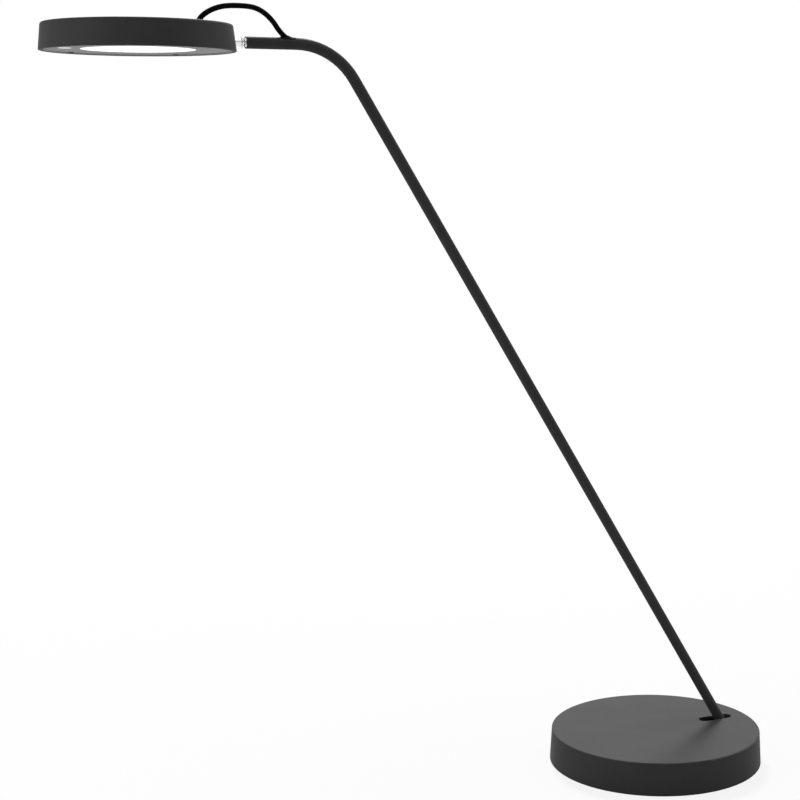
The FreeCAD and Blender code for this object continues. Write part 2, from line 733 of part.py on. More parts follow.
def make_base_plate_screws():
    """Three countersunk screws, from below into the cover's posts."""
    screws = []
    for i, (x, y) in enumerate(plate_screw_spots()):
        screw = sunk_screw(
            f"plate_screw_{i}", "plate_screw_head", "plate_screw_sink", "plate_screw_shank",
            "plate_screw_length",
        )
        screws.append(place(screw, (x, y, "pad_height"), (1, 0, 0), "180"))
    node(group("plate_screws", screws), "base_plate_screws")


def make_ballast():
    """The cast iron counterweight, with a well for the hinge and pockets for inlet and posts."""
    depth = "roof_under - ballast_air - plate_top"
    disc = cylinder("ballast_disc", "ballast_radius", depth, ("0", "0", "plate_top"))
    well = box(
        "hinge_well", ("base_radius", "well_width", depth),
        ("well_start", "-well_width / 2", "plate_top"),
    )
    posts = [
        cylinder(f"post_hole_{i}", "post_radius + post_gap", depth, (x, y, "plate_top"))
        for i, (x, y) in enumerate(plate_screw_spots())
    ]
    floor = "inlet_height - inlet_nut_radius - pocket_floor_gap"
    corner = ("inlet_pocket_start", "-inlet_pocket / 2", floor)
    pocket = box("inlet_pocket_box", ("base_radius", "inlet_pocket", depth), corner)
    turned_pocket = place(
        group("inlet_pocket_turned", [pocket]), ("0", "0", "0"), (0, 0, 1), "inlet_angle",
    )
    corner = ("well_start", "well_width / 4", "inlet_height - lead_radius - channel_floor_gap")
    channel = box("lead_channel_box", ("lead_channel", "base_radius / 2", depth), corner)
    node(cut("ballast", disc, [well, *posts, turned_pocket, channel]), "counterweight_ballast")


# ---- inlet ----
def make_inlet():
    """The low-voltage inlet: barrel with flange, centre contact and nut, set radially in the cover."""
    tail = "inlet_face - inlet_length"
    barrel = fuse(
        "inlet_barrel",
        [
            cylinder("inlet_tube", "inlet_radius", "inlet_length", (tail, "0", "0"), ALONG_X),
            cylinder(
                "inlet_rim", "inlet_flange", "inlet_flange_height", ("inlet_face", "0", "0"), ALONG_X,
            ),
        ],
    )
    mouth = "inlet_face + inlet_flange_height"
    hole = cylinder(
        "plug_hole", "inlet_bore", "inlet_depth", (f"{mouth} - inlet_depth", "0", "0"), ALONG_X,
    )
    node(cut("inlet", barrel, [hole]), "dc_inlet", INLET_FRAME, (0, 0, 1), "inlet_angle")
    contact = cylinder(
        "contact", "inlet_pin_radius", "inlet_depth - 1", (f"{mouth} - inlet_depth", "0", "0"),
        ALONG_X,
    )
    tip = sphere("contact_tip", "inlet_pin_radius", (f"{mouth} - 1", "0", "0"))
    node(
        fuse("inlet_contact", [contact, tip]), "dc_inlet_contact", INLET_FRAME, (0, 0, 1),
        "inlet_angle",
    )
    nut_at = "inlet_wall - cover_wall - inlet_nut_height - inlet_nut_gap"
    nut = prism("nut_blank", "inlet_nut_radius", "inlet_nut_height", (nut_at, "0", "0"), ALONG_X)
    bore = cylinder(
        "nut_bore", "inlet_radius + seat_gap", "inlet_nut_height", (nut_at, "0", "0"), ALONG_X,
    )
    node(cut("inlet_nut", nut, [bore]), "dc_inlet_nut", INLET_FRAME, (0, 0, 1), "inlet_angle")


# ---- hinge ----
def bracket_screw_spots():
    """Where the bracket's screws stand, in the lamp's frame."""
    return [
        (f"pivot_x + {along} * bracket_screw_pitch / 2", f"{side} * bracket_screw_y")
        for side in SIDES
        for along in SIDES
    ]


def make_hinge_bracket():
    """A bent steel bracket: a foot on the base plate and two upright cheeks with round tops."""
    foot = box(
        "bracket_foot", ("web_length", "2 * web_half_width", "web_thickness"),
        ("pivot_x - web_length / 2", "-web_half_width", "plate_top"),
    )
    members, holes = [foot], []
    for i, side in enumerate(SIDES):
        face = "cheek_face" if side > 0 else "-cheek_back"
        members.append(
            box(
                f"cheek_{i}", ("2 * cheek_radius", "cheek_thickness", "pivot_z - plate_top"),
                ("pivot_x - cheek_radius", face, "plate_top"),
            ),
        )
        members.append(
            cylinder(
                f"cheek_top_{i}", "cheek_radius", "cheek_thickness", ("pivot_x", face, "pivot_z"),
                ALONG_Y,
            ),
        )
        holes.append(
            cylinder(
                f"cheek_hole_{i}", "trunnion_radius + seat_gap", "cheek_thickness",
                ("pivot_x", face, "pivot_z"), ALONG_Y,
            ),
        )
    for i, (x, y) in enumerate(bracket_screw_spots()):
        holes.append(
            cylinder(
                f"foot_hole_{i}", "bracket_screw_shank + seat_gap", "web_thickness",
                (x, y, "plate_top"),
            ),
        )
    node(cut("bracket", fuse("bracket_blank", members), holes), "hinge_bracket")


def make_bracket_screws():
    """Four short cap screws that hold the bracket to the base plate."""
    screws = []
    for i, (x, y) in enumerate(bracket_screw_spots()):
        screw = cap_screw(
            f"bracket_screw_{i}", "bracket_screw_head", "bracket_screw_head_height",
            "bracket_screw_shank", "bracket_screw_length",
        )
        screws.append(place(screw, (x, y, "plate_top + web_thickness")))
    node(group("bracket_screw_set", screws), "bracket_screws")


def make_hinge_hardware():
    """Two trunnion screws with disc springs outside the cheeks and friction washers inside."""
    screws, washers, springs = [], [], []
    for i, side in enumerate(SIDES):
        turn = "-90" if side > 0 else "90"
        length = "disc_spring_height + cheek_thickness + washer_thickness + rub_gap + trunnion_reach"
        screw = cap_screw(
            f"trunnion_{i}", "trunnion_head", "trunnion_head_height", "trunnion_radius", length,
        )
        screws.append(
            place(screw, ("0", f"{side} * (cheek_back + disc_spring_height)", "0"), (1, 0, 0), turn),
        )
        start = "cheek_face - washer_thickness" if side > 0 else "-cheek_face"
        disc = cylinder(
            f"washer_disc_{i}", "washer_radius", "washer_thickness", ("0", start, "0"), ALONG_Y,
        )
        bore = cylinder(
            f"washer_bore_{i}", "trunnion_radius + running_gap", "washer_thickness", ("0", start, "0"),
            ALONG_Y,
        )
        washers.append(cut(f"washer_{i}", disc, [bore]))
        outer = cone(
            f"spring_outer_{i}", "trunnion_head", "trunnion_radius + running_gap + disc_spring_rim",
            "disc_spring_height",
        )
        inner = cone(
            f"spring_inner_{i}", "trunnion_head - disc_spring_rim", "trunnion_radius + running_gap",
            "disc_spring_height",
        )
        spring = cut(f"spring_{i}", outer, [inner])
        springs.append(place(spring, ("0", f"{side} * cheek_back", "0"), (1, 0, 0), turn))
    node(group("trunnion_pair", screws), "hinge_trunnion_screws", PIVOT_FRAME)
    node(group("washer_pair", washers), "hinge_friction_washers", PIVOT_FRAME)
    node(group("spring_pair", springs), "hinge_disc_springs", PIVOT_FRAME)


def make_arm_knuckle():
    """The steel knuckle: a barrel on the hinge axis with a leaning socket for the tube."""
    barrel = cylinder(
        "knuckle_barrel", "knuckle_radius", "knuckle_width", ("0", "-knuckle_width / 2", "0"), ALONG_Y,
    )
    socket = place(
        cylinder("knuckle_socket", "knuckle_radius", "socket_end"), ("0", "0", "0"), (0, 1, 0),
        "-arm_lean",
    )
    seat_blank = cylinder(
        "tube_seat_blank", "tube_radius + seat_gap", "socket_end", ("0", "0", "socket_start"),
    )
    seat = place(group("tube_seat", [seat_blank]), ("0", "0", "0"), (0, 1, 0), "-arm_lean")
    passage = place(
        cylinder("lead_bore", "knuckle_lead_bore", "socket_end"), ("0", "0", "0"), (0, 1, 0),
        "-arm_lean",
    )
    mill = box(
        "lead_slot", ("knuckle_radius + 2", "2 * knuckle_lead_bore", "2.6 * knuckle_lead_bore"),
        ("-1", "-knuckle_lead_bore", "-knuckle_lead_bore"),
    )
    bores = []
    for i, side in enumerate(SIDES):
        start = "knuckle_width / 2 - trunnion_reach - rub_gap" if side > 0 else "-knuckle_width / 2"
        bores.append(
            cylinder(
                f"trunnion_bore_{i}", "trunnion_radius + running_gap", "trunnion_reach + rub_gap",
                ("0", start, "0"), ALONG_Y,
            ),
        )
    grubs = cylinder(
        "grub_holes", "grub_radius + seat_gap", "2 * knuckle_radius",
        ("0", "-knuckle_radius", "grub_place"), ALONG_Y,
    )
    grub_line = place(group("grub_line", [grubs]), ("0", "0", "0"), (0, 1, 0), "-arm_lean")
    blank = fuse("knuckle_blank", [barrel, socket])
    node(cut("knuckle", blank, [seat, passage, mill, *bores, grub_line]), "arm_knuckle", PIVOT_FRAME)


def make_socket_screws():
    """Two grub screws that clamp the tube in its socket."""
    length = "knuckle_radius - tube_radius - seat_gap"
    screws = []
    for i, side in enumerate(SIDES):
        start = "tube_radius + seat_gap" if side > 0 else "-knuckle_radius"
        rod = cylinder(f"grub_rod_{i}", "grub_radius", length, ("0", start, "grub_place"), ALONG_Y)
        key_start = "knuckle_radius - 0.8" if side > 0 else "-knuckle_radius"
        key = prism(f"grub_key_{i}", "grub_radius / 2", "0.8", ("0", key_start, "grub_place"), ALONG_Y)
        screws.append(cut(f"grub_{i}", rod, [key]))
    node(group("grub_pair", screws), "socket_grub_screws", PIVOT_FRAME, (0, 1, 0), "-arm_lean")


# ---- arm ----
def bent_bar(name, radius):
    """The solid of the arm's whole route at one radius: leg, bend and level run."""
    leg_bar = cylinder(name + "_leg", radius, "leg_end - socket_start", ("0", "0", "socket_start"))
    leg = place(group(name + "_leg_turned", [leg_bar]), PIVOT_FRAME, (0, 1, 0), "-arm_lean")
    bend = doc.addObject("Part::Torus", name + "_bend")
    bind(bend, "Radius1", "bend_radius")
    bind(bend, "Radius2", radius)
    bind(bend, "Angle3", "bend_turn")
    place(bend, ("bend_x", "0", "run_z - bend_radius"), (1, 1, 1), "240")
    run = cylinder(name + "_run", radius, "bend_x - tube_end_x", ("tube_end_x", "0", "run_z"), ALONG_X)
    return fuse(name, [leg, bend, run])


def make_arm_tube():
    """The bent tube, with a slot on top for the lead and a cross hole for the tilt pin."""
    pin_hole = cylinder(
        "tube_pin_hole", "tilt_pin_radius + seat_gap", "2 * tube_radius",
        ("tilt_x", "-tube_radius", "run_z"), ALONG_Y,
    )
    slot = obround(
        "exit_slot", "exit_slot_length", "2 * lead_radius + 2 * lead_air", "2 * tube_radius",
        ("exit_slot_x", "0", "run_z"),
    )
    outside = bent_bar("tube_outside", "tube_radius")
    inside = bent_bar("tube_inside", "tube_bore")
    node(cut("tube", outside, [inside, pin_hole, slot]), "arm_tube")


def make_exit_lip():
    """The rubber lip on the tube round the lead's slot."""
    width = "2 * lead_radius + 2 * lead_air"
    floor = "run_z + tube_bore - tube_wall"
    height = f"2 * tube_wall + lip_height"
    blank = obround(
        "lip_blank", "exit_slot_length + 2 * lip_width", f"{width} + 2 * lip_width", height,
        ("exit_slot_x", "0", floor),
    )
    hole = obround("lip_hole", "exit_slot_length", width, height, ("exit_slot_x", "0", floor))
    under = cylinder(
        "lip_under", "tube_radius + seat_gap", "4 * exit_slot_length",
        ("exit_slot_x - 2 * exit_slot_length", "0", "run_z"), ALONG_X,
    )
    node(cut("exit_lip", blank, [hole, under]), "lead_exit_lip")


def make_leads():
    """The lead from inlet to loop, held by the lamp all the way, in two lengths."""
    radius = value("lead_radius")
    px, pz = value("pivot_x"), value("pivot_z")
    start = (px + value("lead_start"), 0, pz)
    tail = value("inlet_face - inlet_length")
    turn = math.radians(value("inlet_angle"))
    behind = [
        (reach * math.cos(turn), reach * math.sin(turn), value("inlet_height"))
        for reach in (tail, tail - value("inlet_lead_run"))
    ]
    route = [*behind, *[(px + x, y, z) for x, y, z in BASE_LEAD], start]
    arcs = {len(route) - 2: value("lead_entry_radius")}
    node(tube_along("base_lead", route, radius, arcs=arcs), "base_lead")
    corner = (value("corner_x"), 0, value("run_z"))
    arcs = {
        1: value("lead_turn_radius"),
        2: value("bend_radius"),
        3: value("lead_rise_radius"),
    }
    (end_x, _, end_z), (next_x, _, next_z) = loop_points(LOOP_ARM)[:2]
    rise_x = end_x + (end_z - corner[2]) * (end_x - next_x) / (next_z - end_z)
    route = [start, (px, 0, pz), corner, (rise_x, 0, corner[2]), (end_x, 0, end_z)]
    node(tube_along("arm_lead", route, radius, arcs=arcs), "arm_lead")


def loop_points(route):
    """A half of the loop, in the lamp's frame."""
    return [(value("tilt_x") + x, y, value("run_z") + z) for x, y, z in route]


def make_loop():
    """The free loop of lead over the tilting joint, in two halves."""
    radius = value("lead_radius")
    for label, route in (("lead_loop_arm_half", LOOP_ARM), ("lead_loop_head_half", LOOP_HEAD)):
        node(tube_along(label, loop_points(route), radius), label)


# ---- tilting joint ----
def make_tilt_fork():
    """The chromed fork in the end of the tube: a plug, a round nose and a slot for the tongue."""
    plug = cylinder(
        "fork_plug", "tube_bore - seat_gap", "fork_reach + pin_inset", ("-pin_inset", "0", "0"),
        ALONG_X,
    )
    ball = sphere("fork_ball", "nose_radius")
    ahead = box(
        "fork_ahead", ("nose_radius", "2 * nose_radius", "2 * nose_radius"),
        ("-pin_inset - nose_radius", "-nose_radius", "-nose_radius"),
    )
    nose = common("fork_nose", [ball, ahead])
    slot = box(
        "fork_slot_box", ("fork_slot_end + nose_radius", "fork_slot", "2 * nose_radius"),
        ("-nose_radius", "-fork_slot / 2", "-nose_radius"),
    )
    hole = cylinder(
        "fork_pin_hole", "tilt_pin_radius + seat_gap", "2 * nose_radius", ("0", "-nose_radius", "0"),
        ALONG_Y,
    )
    node(cut("fork", fuse("fork_blank", [plug, nose]), [slot, hole]), "tilt_fork", TILT_FRAME)
    length = "2 * tube_radius - rub_gap"
    pin = cylinder("pin", "tilt_pin_radius", length, ("0", "-tube_radius + rub_gap / 2", "0"), ALONG_Y)
    node(pin, "tilt_pin", ("tilt_x", "-tube_radius + rub_gap / 2", "run_z"), (1, 0, 0), "-90")


def make_stem():
    """The chromed stem: an eye on the tilt pin, a flange, and a round shaft into the head."""
    thick = "fork_slot - 2 * tongue_gap"
    eye = cylinder("eye", "eye_radius", thick, ("0", f"-({thick}) / 2", "0"), ALONG_Y)
    neck = box(
        "tongue_neck", ("flange_start", thick, "tongue_height"),
        ("-flange_start", f"-({thick}) / 2", "-tongue_height / 2"),
    )
    flange = cylinder(
        "stem_flange", "flange_radius", "flange_thickness",
        ("-flange_start - flange_thickness", "0", "0"), ALONG_X,
    )
    far = "head_reach - stem_end"
    shaft = cylinder(
        "stem_shaft", "stem_radius", f"{far} - flange_start", (f"-({far})", "0", "0"), ALONG_X,
    )
    hole = cylinder(
        "eye_hole", "tilt_pin_radius + running_gap", thick, ("0", f"-({thick}) / 2", "0"), ALONG_Y,
    )
    grooves = []
    for i, start in enumerate(("inner_ring_start", "outer_ring_start")):
        sleeve = cylinder(
            f"groove_sleeve_{i}", "stem_radius + 1", "ring_thickness",
            (f"{start} - head_reach", "0", "0"), ALONG_X,
        )
        core = cylinder(
            f"groove_core_{i}", "stem_radius - ring_groove", "ring_thickness",
            (f"{start} - head_reach", "0", "0"), ALONG_X,
        )
        grooves.append(cut(f"groove_{i}", sleeve, [core]))
    stem = cut("stem", fuse("stem_blank", [eye, neck, flange, shaft]), [hole, *grooves])
    node(stem, "swivel_stem", TILT_FRAME)


def make_stem_rings():
    """Two retaining rings in the stem's grooves and a wave washer against the bush."""
    rings = []
    for i, start in enumerate(("inner_ring_start", "outer_ring_start")):
        at = (start, "0", "stem_above_rim")
        disc = cylinder(
            f"ring_disc_{i}", "ring_radius", "ring_thickness - 2 * seat_gap",
            (f"{start} + seat_gap", "0", "stem_above_rim"), ALONG_X,
        )
        bore = cylinder(
            f"ring_bore_{i}", "stem_radius - ring_groove + seat_gap", "ring_thickness", at, ALONG_X,
        )
        mouth = box(
            f"ring_mouth_{i}", ("ring_thickness", "1.2 * stem_radius", "ring_radius"),
            (start, "-0.6 * stem_radius", "stem_above_rim - ring_radius"),
        )
        rings.append(cut(f"ring_{i}", disc, [bore, mouth]))
    node(group("ring_pair", rings), "stem_retaining_rings", HEAD_FRAME)
    at = ("wave_start", "0", "stem_above_rim")
    disc = cylinder("wave_disc", "wave_radius", "wave_thickness", at, ALONG_X)
    bore = cylinder("wave_bore", "stem_radius + running_gap", "wave_thickness", at, ALONG_X)
    node(cut("wave_washer", disc, [bore]), "stem_wave_washer", HEAD_FRAME)


# ---- head ----
def bezel_screw_spots():
    """Where the bezel's screws stand, in the head's frame."""
    angles = ("bezel_screw_angle", "(180 - bezel_screw_angle)")
    spots = [on_circle("bezel_screw_circle", angle) for angle in angles]
    return [(x, f"{side} * {y}") for side in SIDES for x, y in spots]


def make_head_shell():
    """The head's cast shell: tapered side, flat top, screw posts and the pad of the stem block."""
    slope = "tan(head_taper * 1deg)"
    cup = turned(
        "head_cup",
        [
            ("rim_bore", "0"),
            ("head_radius", "0"),
            ("head_top_radius", "head_height"),
            ("0", "head_height"),
            ("0", "ceiling"),
            (f"head_radius - ceiling * {slope} - head_wall", "ceiling"),
            (f"head_radius - bezel_top * {slope} - head_wall", "bezel_top"),
            ("rim_bore", "bezel_top"),
        ],
    )
    rounded(cup, "head_top_round", "head_edge_round", "head_top_radius", "head_height")
    rounded(cup, "head_rim_round_edge", "head_rim_round", "head_radius", "0")
    into = "head_roof / 2"
    members, tools = [cup], []
    for i, (x, y) in enumerate(bezel_screw_spots()):
        members.append(
            cylinder(
                f"bezel_post_{i}", "bezel_post", f"ceiling - bezel_top + {into}", (x, y, "bezel_top"),
            ),
        )
        tools.append(
            cylinder(
                f"bezel_pilot_{i}", "bezel_screw_shank + seat_gap", "bezel_screw_length",
                (x, y, "bezel_recess"),
            ),
        )
    for i, angle in enumerate(SINK_POST_ANGLES):
        x, y = on_circle("sink_post_circle", angle)
        members.append(
            cylinder(f"sink_post_{i}", "sink_post", f"ceiling - sink_top + {into}", (x, y, "sink_top")),
        )
        tools.append(
            cylinder(
                f"sink_pilot_{i}", "sink_screw_shank + seat_gap", "sink_screw_length",
                (x, y, "sink_z"),
            ),
        )
    length = "block_end - block_start"
    members.append(
        box(
            "block_pad", (length, "block_width", f"ceiling - block_top + {into}"),
            ("block_start", "-block_width / 2", "block_top"),
        ),
    )
    for i, side in enumerate(SIDES):
        at = ("(block_start + block_end) / 2", f"{side} * block_screw_y", "block_top")
        tools.append(
            cylinder(
                f"block_pilot_{i}", "block_screw_shank + seat_gap",
                "block_screw_length - (block_top - block_bottom - block_screw_sink) + rub_gap", at,
            ),
        )
    tools.append(
        cylinder(
            "stem_hole", "stem_radius + stem_wall_gap", "head_radius - block_end",
            ("block_end", "0", "stem_above_rim"), ALONG_X,
        ),
    )
    tools.append(
        cylinder(
            "lead_hole", "grommet_radius + seat_gap", "2 * head_roof",
            ("entry_x", "0", "ceiling - head_roof / 2"),
        ),
    )
    node(cut("head", fuse("head_blank", members), tools), "head_shell", HEAD_FRAME)


def make_head_grommet():
    """The rubber grommet where the lead goes through the head's top."""
    neck = cylinder(
        "grommet_neck", "grommet_radius", "head_roof + 2 * seat_gap",
        ("entry_x", "0", "ceiling - seat_gap"),
    )
    upper = cylinder(
        "grommet_upper", "grommet_lip", "grommet_lip_height",
        ("entry_x", "0", "head_height + seat_gap"),
    )
    lower = cylinder(
        "grommet_lower", "grommet_lip", "grommet_lip_height",
        ("entry_x", "0", "ceiling - seat_gap - grommet_lip_height"),
    )
    bore = cylinder(
        "grommet_bore", "entry_bore", "3 * head_roof", ("entry_x", "0", "ceiling - head_roof"),
    )
    node(cut("grommet", fuse("grommet_blank", [neck, upper, lower]), [bore]), "head_grommet", HEAD_FRAME)


def make_stem_bearing():
    """The block under its pad, its bush and its two screws."""
    length = "block_end - block_start"
    blank = box(
        "block_blank", (length, "block_width", "block_top - block_bottom"),
        ("block_start", "-block_width / 2", "block_bottom"),
    )
    tools = [
        cylinder(
            "bush_seat", "bush_radius + seat_gap", length, ("block_start", "0", "stem_above_rim"),
            ALONG_X,
        ),
    ]
    screws = []
    for i, side in enumerate(SIDES):
        x, y = "(block_start + block_end) / 2", f"{side} * block_screw_y"
        tools.append(
            cylinder(
                f"block_hole_{i}", "block_screw_shank + seat_gap", "block_top - block_bottom",
                (x, y, "block_bottom"),
            ),
        )
        tools.append(
            cylinder(
                f"block_sink_{i}", "block_screw_head + seat_gap", "block_screw_sink",
                (x, y, "block_bottom"),
            ),
        )
        screw = cap_screw(
            f"block_screw_{i}", "block_screw_head", "block_screw_sink", "block_screw_shank",
            "block_screw_length",
        )
        screws.append(place(screw, (x, y, "block_bottom + block_screw_sink"), (1, 0, 0), "180"))
    node(cut("block", blank, tools), "stem_block", HEAD_FRAME)
    node(group("block_screw_pair", screws), "stem_block_screws", HEAD_FRAME)
    sleeve = cylinder(
        "bush_sleeve", "bush_radius", length, ("block_start", "0", "stem_above_rim"), ALONG_X,
    )
    flange = cylinder(
        "bush_flange_disc", "bush_flange", "bush_flange_height",
        ("block_start - bush_flange_height", "0", "stem_above_rim"), ALONG_X,
    )
    bore = cylinder(
        "bush_bore", "stem_radius + running_gap", f"{length} + bush_flange_height",
        ("block_start - bush_flange_height", "0", "stem_above_rim"), ALONG_X,
    )
    node(cut("bush", fuse("bush_blank", [sleeve, flange]), [bore]), "stem_bush", HEAD_FRAME)


def make_bezel():
    """The flat ring under the head, with posts for its two boards and the button's hole."""
    ring = turned(
        "bezel_disc",
        [
            ("window_radius", "bezel_recess"),
            ("bezel_radius", "bezel_recess"),
            ("bezel_radius", "bezel_top"),
            ("window_radius", "bezel_top"),
        ],
    )
    members, tools = [ring], []
    for i, (x, y) in enumerate(bezel_screw_spots()):
        tools.append(
            cone(
                f"bezel_sink_{i}", "bezel_screw_head + seat_gap", "bezel_screw_shank + seat_gap",
                "bezel_screw_sink", (x, y, "bezel_recess"),
            ),
        )
        tools.append(
            cylinder(
                f"bezel_hole_{i}", "bezel_screw_shank + seat_gap", "bezel_thickness",
                (x, y, "bezel_recess"),
            ),
        )
    into = "bezel_thickness / 2"
    for i, side in enumerate(SIDES):
        at = ("-button_x", f"{side} * switch_post_y", f"bezel_top - {into}")
        members.append(
            cylinder(f"switch_post_{i}", "switch_post", f"switch_board_z - bezel_top + {into}", at),
        )
        tools.append(
            cylinder(
                f"switch_pilot_{i}", "board_screw_shank + seat_gap", "board_screw_length",
                (at[0], at[1], "switch_board_z - board_screw_length + switch_board_thickness"),
            ),
        )
        at = (f"{side} * driver_post_x", "driver_y", f"bezel_top - {into}")
        members.append(cylinder(f"driver_post_{i}", "driver_post", f"driver_post_height + {into}", at))
        tools.append(
            cylinder(
                f"driver_pilot_{i}", "board_screw_shank + seat_gap", "board_screw_length",
                (at[0], at[1], "driver_z - board_screw_length + switch_board_thickness"),
            ),
        )
    tools.append(
        cylinder(
            "button_hole", "button_radius + button_gap", "bezel_thickness",
            ("-button_x", "0", "bezel_recess"),
        ),
    )
    node(cut("bezel", fuse("bezel_blank", members), tools), "bezel_ring", HEAD_FRAME)
    screws = []
    for i, (x, y) in enumerate(bezel_screw_spots()):
        screw = sunk_screw(
            f"bezel_screw_{i}", "bezel_screw_head", "bezel_screw_sink", "bezel_screw_shank",
            "bezel_screw_length - rub_gap",
        )
        screws.append(place(screw, (x, y, "bezel_recess"), (1, 0, 0), "180"))
    node(group("bezel_screw_set", screws), "bezel_screws", HEAD_FRAME)


def make_light_engine():
    """Diffuser, reflector ring, LED board with its chips, and the heat spreader."""
    diffuser = turned(
        "diffuser_disc",
        [
            ("0", "diffuser_face"),
            ("diffuser_radius", "diffuser_face"),
            ("diffuser_radius", "bezel_top"),
            ("diffuser_radius + diffuser_ledge", "bezel_top"),
            ("diffuser_radius + diffuser_ledge", "reflector_z"),
            ("0", "reflector_z"),
        ],
    )
    node(diffuser, "diffuser", HEAD_FRAME)
    reflector = turned(
        "reflector",
        [
            ("reflector_foot", "reflector_z"),
            ("reflector_radius", "reflector_z"),
            ("reflector_radius", "board_z"),
            ("reflector_radius - reflector_wall", "board_z"),
        ],
    )
    node(reflector, "reflector_ring", HEAD_FRAME)
    board = cylinder("board", "board_radius", "board_thickness", ("0", "0", "board_z"))
    node(board, "led_board", ("head_x", "0", "head_z + board_z"))
    chips = []
    for circle, count in (("outer_chip_circle", OUTER_CHIPS), ("inner_chip_circle", INNER_CHIPS)):
        for i in range(count):
            angle = f"{360 * i / count}"
            chip = box(
                f"chip_{circle}_{i}", ("chip_length", "chip_width", "chip_height"), ("0", "0", "0"),
            )
            place(chip, (*on_circle(circle, angle), "board_z - chip_height"), (0, 0, 1), angle)
            chips.append(chip)
    node(group("chip_set", chips), "led_chips", HEAD_FRAME)
    disc = cylinder("sink_disc", "sink_radius", "sink_thickness", ("0", "0", "sink_z"))
    notch = box(
        "sink_notch", ("sink_radius", "sink_notch_width", "sink_thickness"),
        ("sink_notch_start", "-sink_notch_width / 2", "sink_z"),
    )
    holes, screws = [], []
    for i, angle in enumerate(SINK_POST_ANGLES):
        x, y = on_circle("sink_post_circle", angle)
        holes.append(
            cylinder(
                f"sink_hole_{i}", "sink_screw_shank + seat_gap", "sink_thickness", (x, y, "sink_z"),
            ),
        )
        screw = cap_screw(
            f"sink_screw_{i}", "sink_screw_head", "sink_screw_head_height", "sink_screw_shank",
            "sink_screw_length - rub_gap",
        )
        screws.append(place(screw, (x, y, "sink_z"), (1, 0, 0), "180"))
    node(cut("sink", disc, [notch, *holes]), "heat_spreader", HEAD_FRAME)
    node(group("sink_screw_set", screws), "heat_spreader_screws", HEAD_FRAME)


def make_dimmer():
    """The push button, its spring dome, the switch and its small board."""
    face = "bezel_recess + button_recess"
    cap = cylinder("button_cap", "button_radius", f"button_top - ({face})", ("0", "0", face))
    flange = cylinder(
        "button_rim", "button_flange", "button_flange_height",
        ("0", "0", "button_top - button_flange_height"),
    )
    at = ("head_x - button_x", "0", "head_z")
    node(fuse("button", [cap, flange]), "dimmer_button", at)
    dome = cone("dome", "dome_radius", "dome_radius / 2", "dome_height - 2 * seat_gap", ("0", "0", "0"))
    node(dome, "button_spring_dome", ("head_x - button_x", "0", "head_z + button_top + seat_gap"))
    side = "switch_side"
    corner = (f"head_x - button_x - {side} / 2", f"-{side} / 2", "head_z + switch_z")
    node(box("switch", (side, side, "switch_height"), corner), "push_switch")
    board = box(
        "switch_card", ("switch_board_length", "switch_board_width", "switch_board_thickness"),
        ("-switch_board_length / 2", "-switch_board_width / 2", "switch_board_z"),
    )
    holes = [
        cylinder(
            f"switch_card_hole_{i}", "board_screw_shank + seat_gap", "switch_board_thickness",
            ("0", f"{side} * switch_post_y", "switch_board_z"),
        )
        for i, side in enumerate(SIDES)
    ]
    node(cut("switch_board", board, holes), "switch_board", at)


def make_driver():
    """The driver board on its posts, its parts, and the screws of both boards."""
    at = ("head_x", "driver_y", "head_z")
    board = box(
        "driver_card", ("driver_length", "driver_width", "switch_board_thickness"),
        ("-driver_length / 2", "-driver_width / 2", "driver_z"),
    )
    holes = [
        cylinder(
            f"driver_card_hole_{i}", "board_screw_shank + seat_gap", "switch_board_thickness",
            (f"{side} * driver_post_x", "0", "driver_z"),
        )
        for i, side in enumerate(SIDES)
    ]
    node(cut("driver", board, holes), "driver_board", at)
    top = "driver_z + switch_board_thickness"
    coil = cylinder("coil", "2.4", "2.2", ("-2", "0", top))
    can = cylinder("capacitor", "1.4", "2.4", ("3.2", "-2.6", top))
    chip = box("driver_chip", ("3.9", "4.9", "1.4"), ("-8.4", "-2.4", top))
    node(group("driver_parts_set", [coil, can, chip]), "driver_parts", at)
    screws = []
    for i, side in enumerate(SIDES):
        for kind, x, y, z in (
            ("switch", "-button_x", f"{side} * switch_post_y", "switch_board_z"),
            ("driver", f"{side} * driver_post_x", "driver_y", "driver_z"),
        ):
            screw = cap_screw(
                f"{kind}_card_screw_{i}", "board_screw_head", "board_screw_head_height",
                "board_screw_shank", "board_screw_length - rub_gap",
            )
            screws.append(place(screw, (x, y, f"{z} + switch_board_thickness")))
    node(group("board_screw_set", screws), "board_screws", HEAD_FRAME)


def round_head(inset, angle, height):
    """A point in the head's frame from its distance to the rim, its angle and its height."""
    reach = value("head_radius") - inset
    turn = math.radians(angle)
    return Vector(reach * math.cos(turn), reach * math.sin(turn), height)


def make_head_wires():
    """Two wires from the lead's end to the driver, and one from the switch to the driver."""
    shift = Vector(*WIRE_STEP)
    routes = [[round_head(*point) for point in route] for route in (HEAD_WIRE, SWITCH_WIRE)]
    wires = [
        tube_along(f"head_wire_{i}", [p + shift * i for p in routes[0]], value("wire_radius"))
        for i in range(2)
    ]
    node(group("head_wire_pair", wires), "head_wires", HEAD_FRAME)
    switch_wire = tube_along("switch_wire_tube", routes[1], value("switch_wire_radius"))
    node(switch_wire, "switch_wire", HEAD_FRAME)


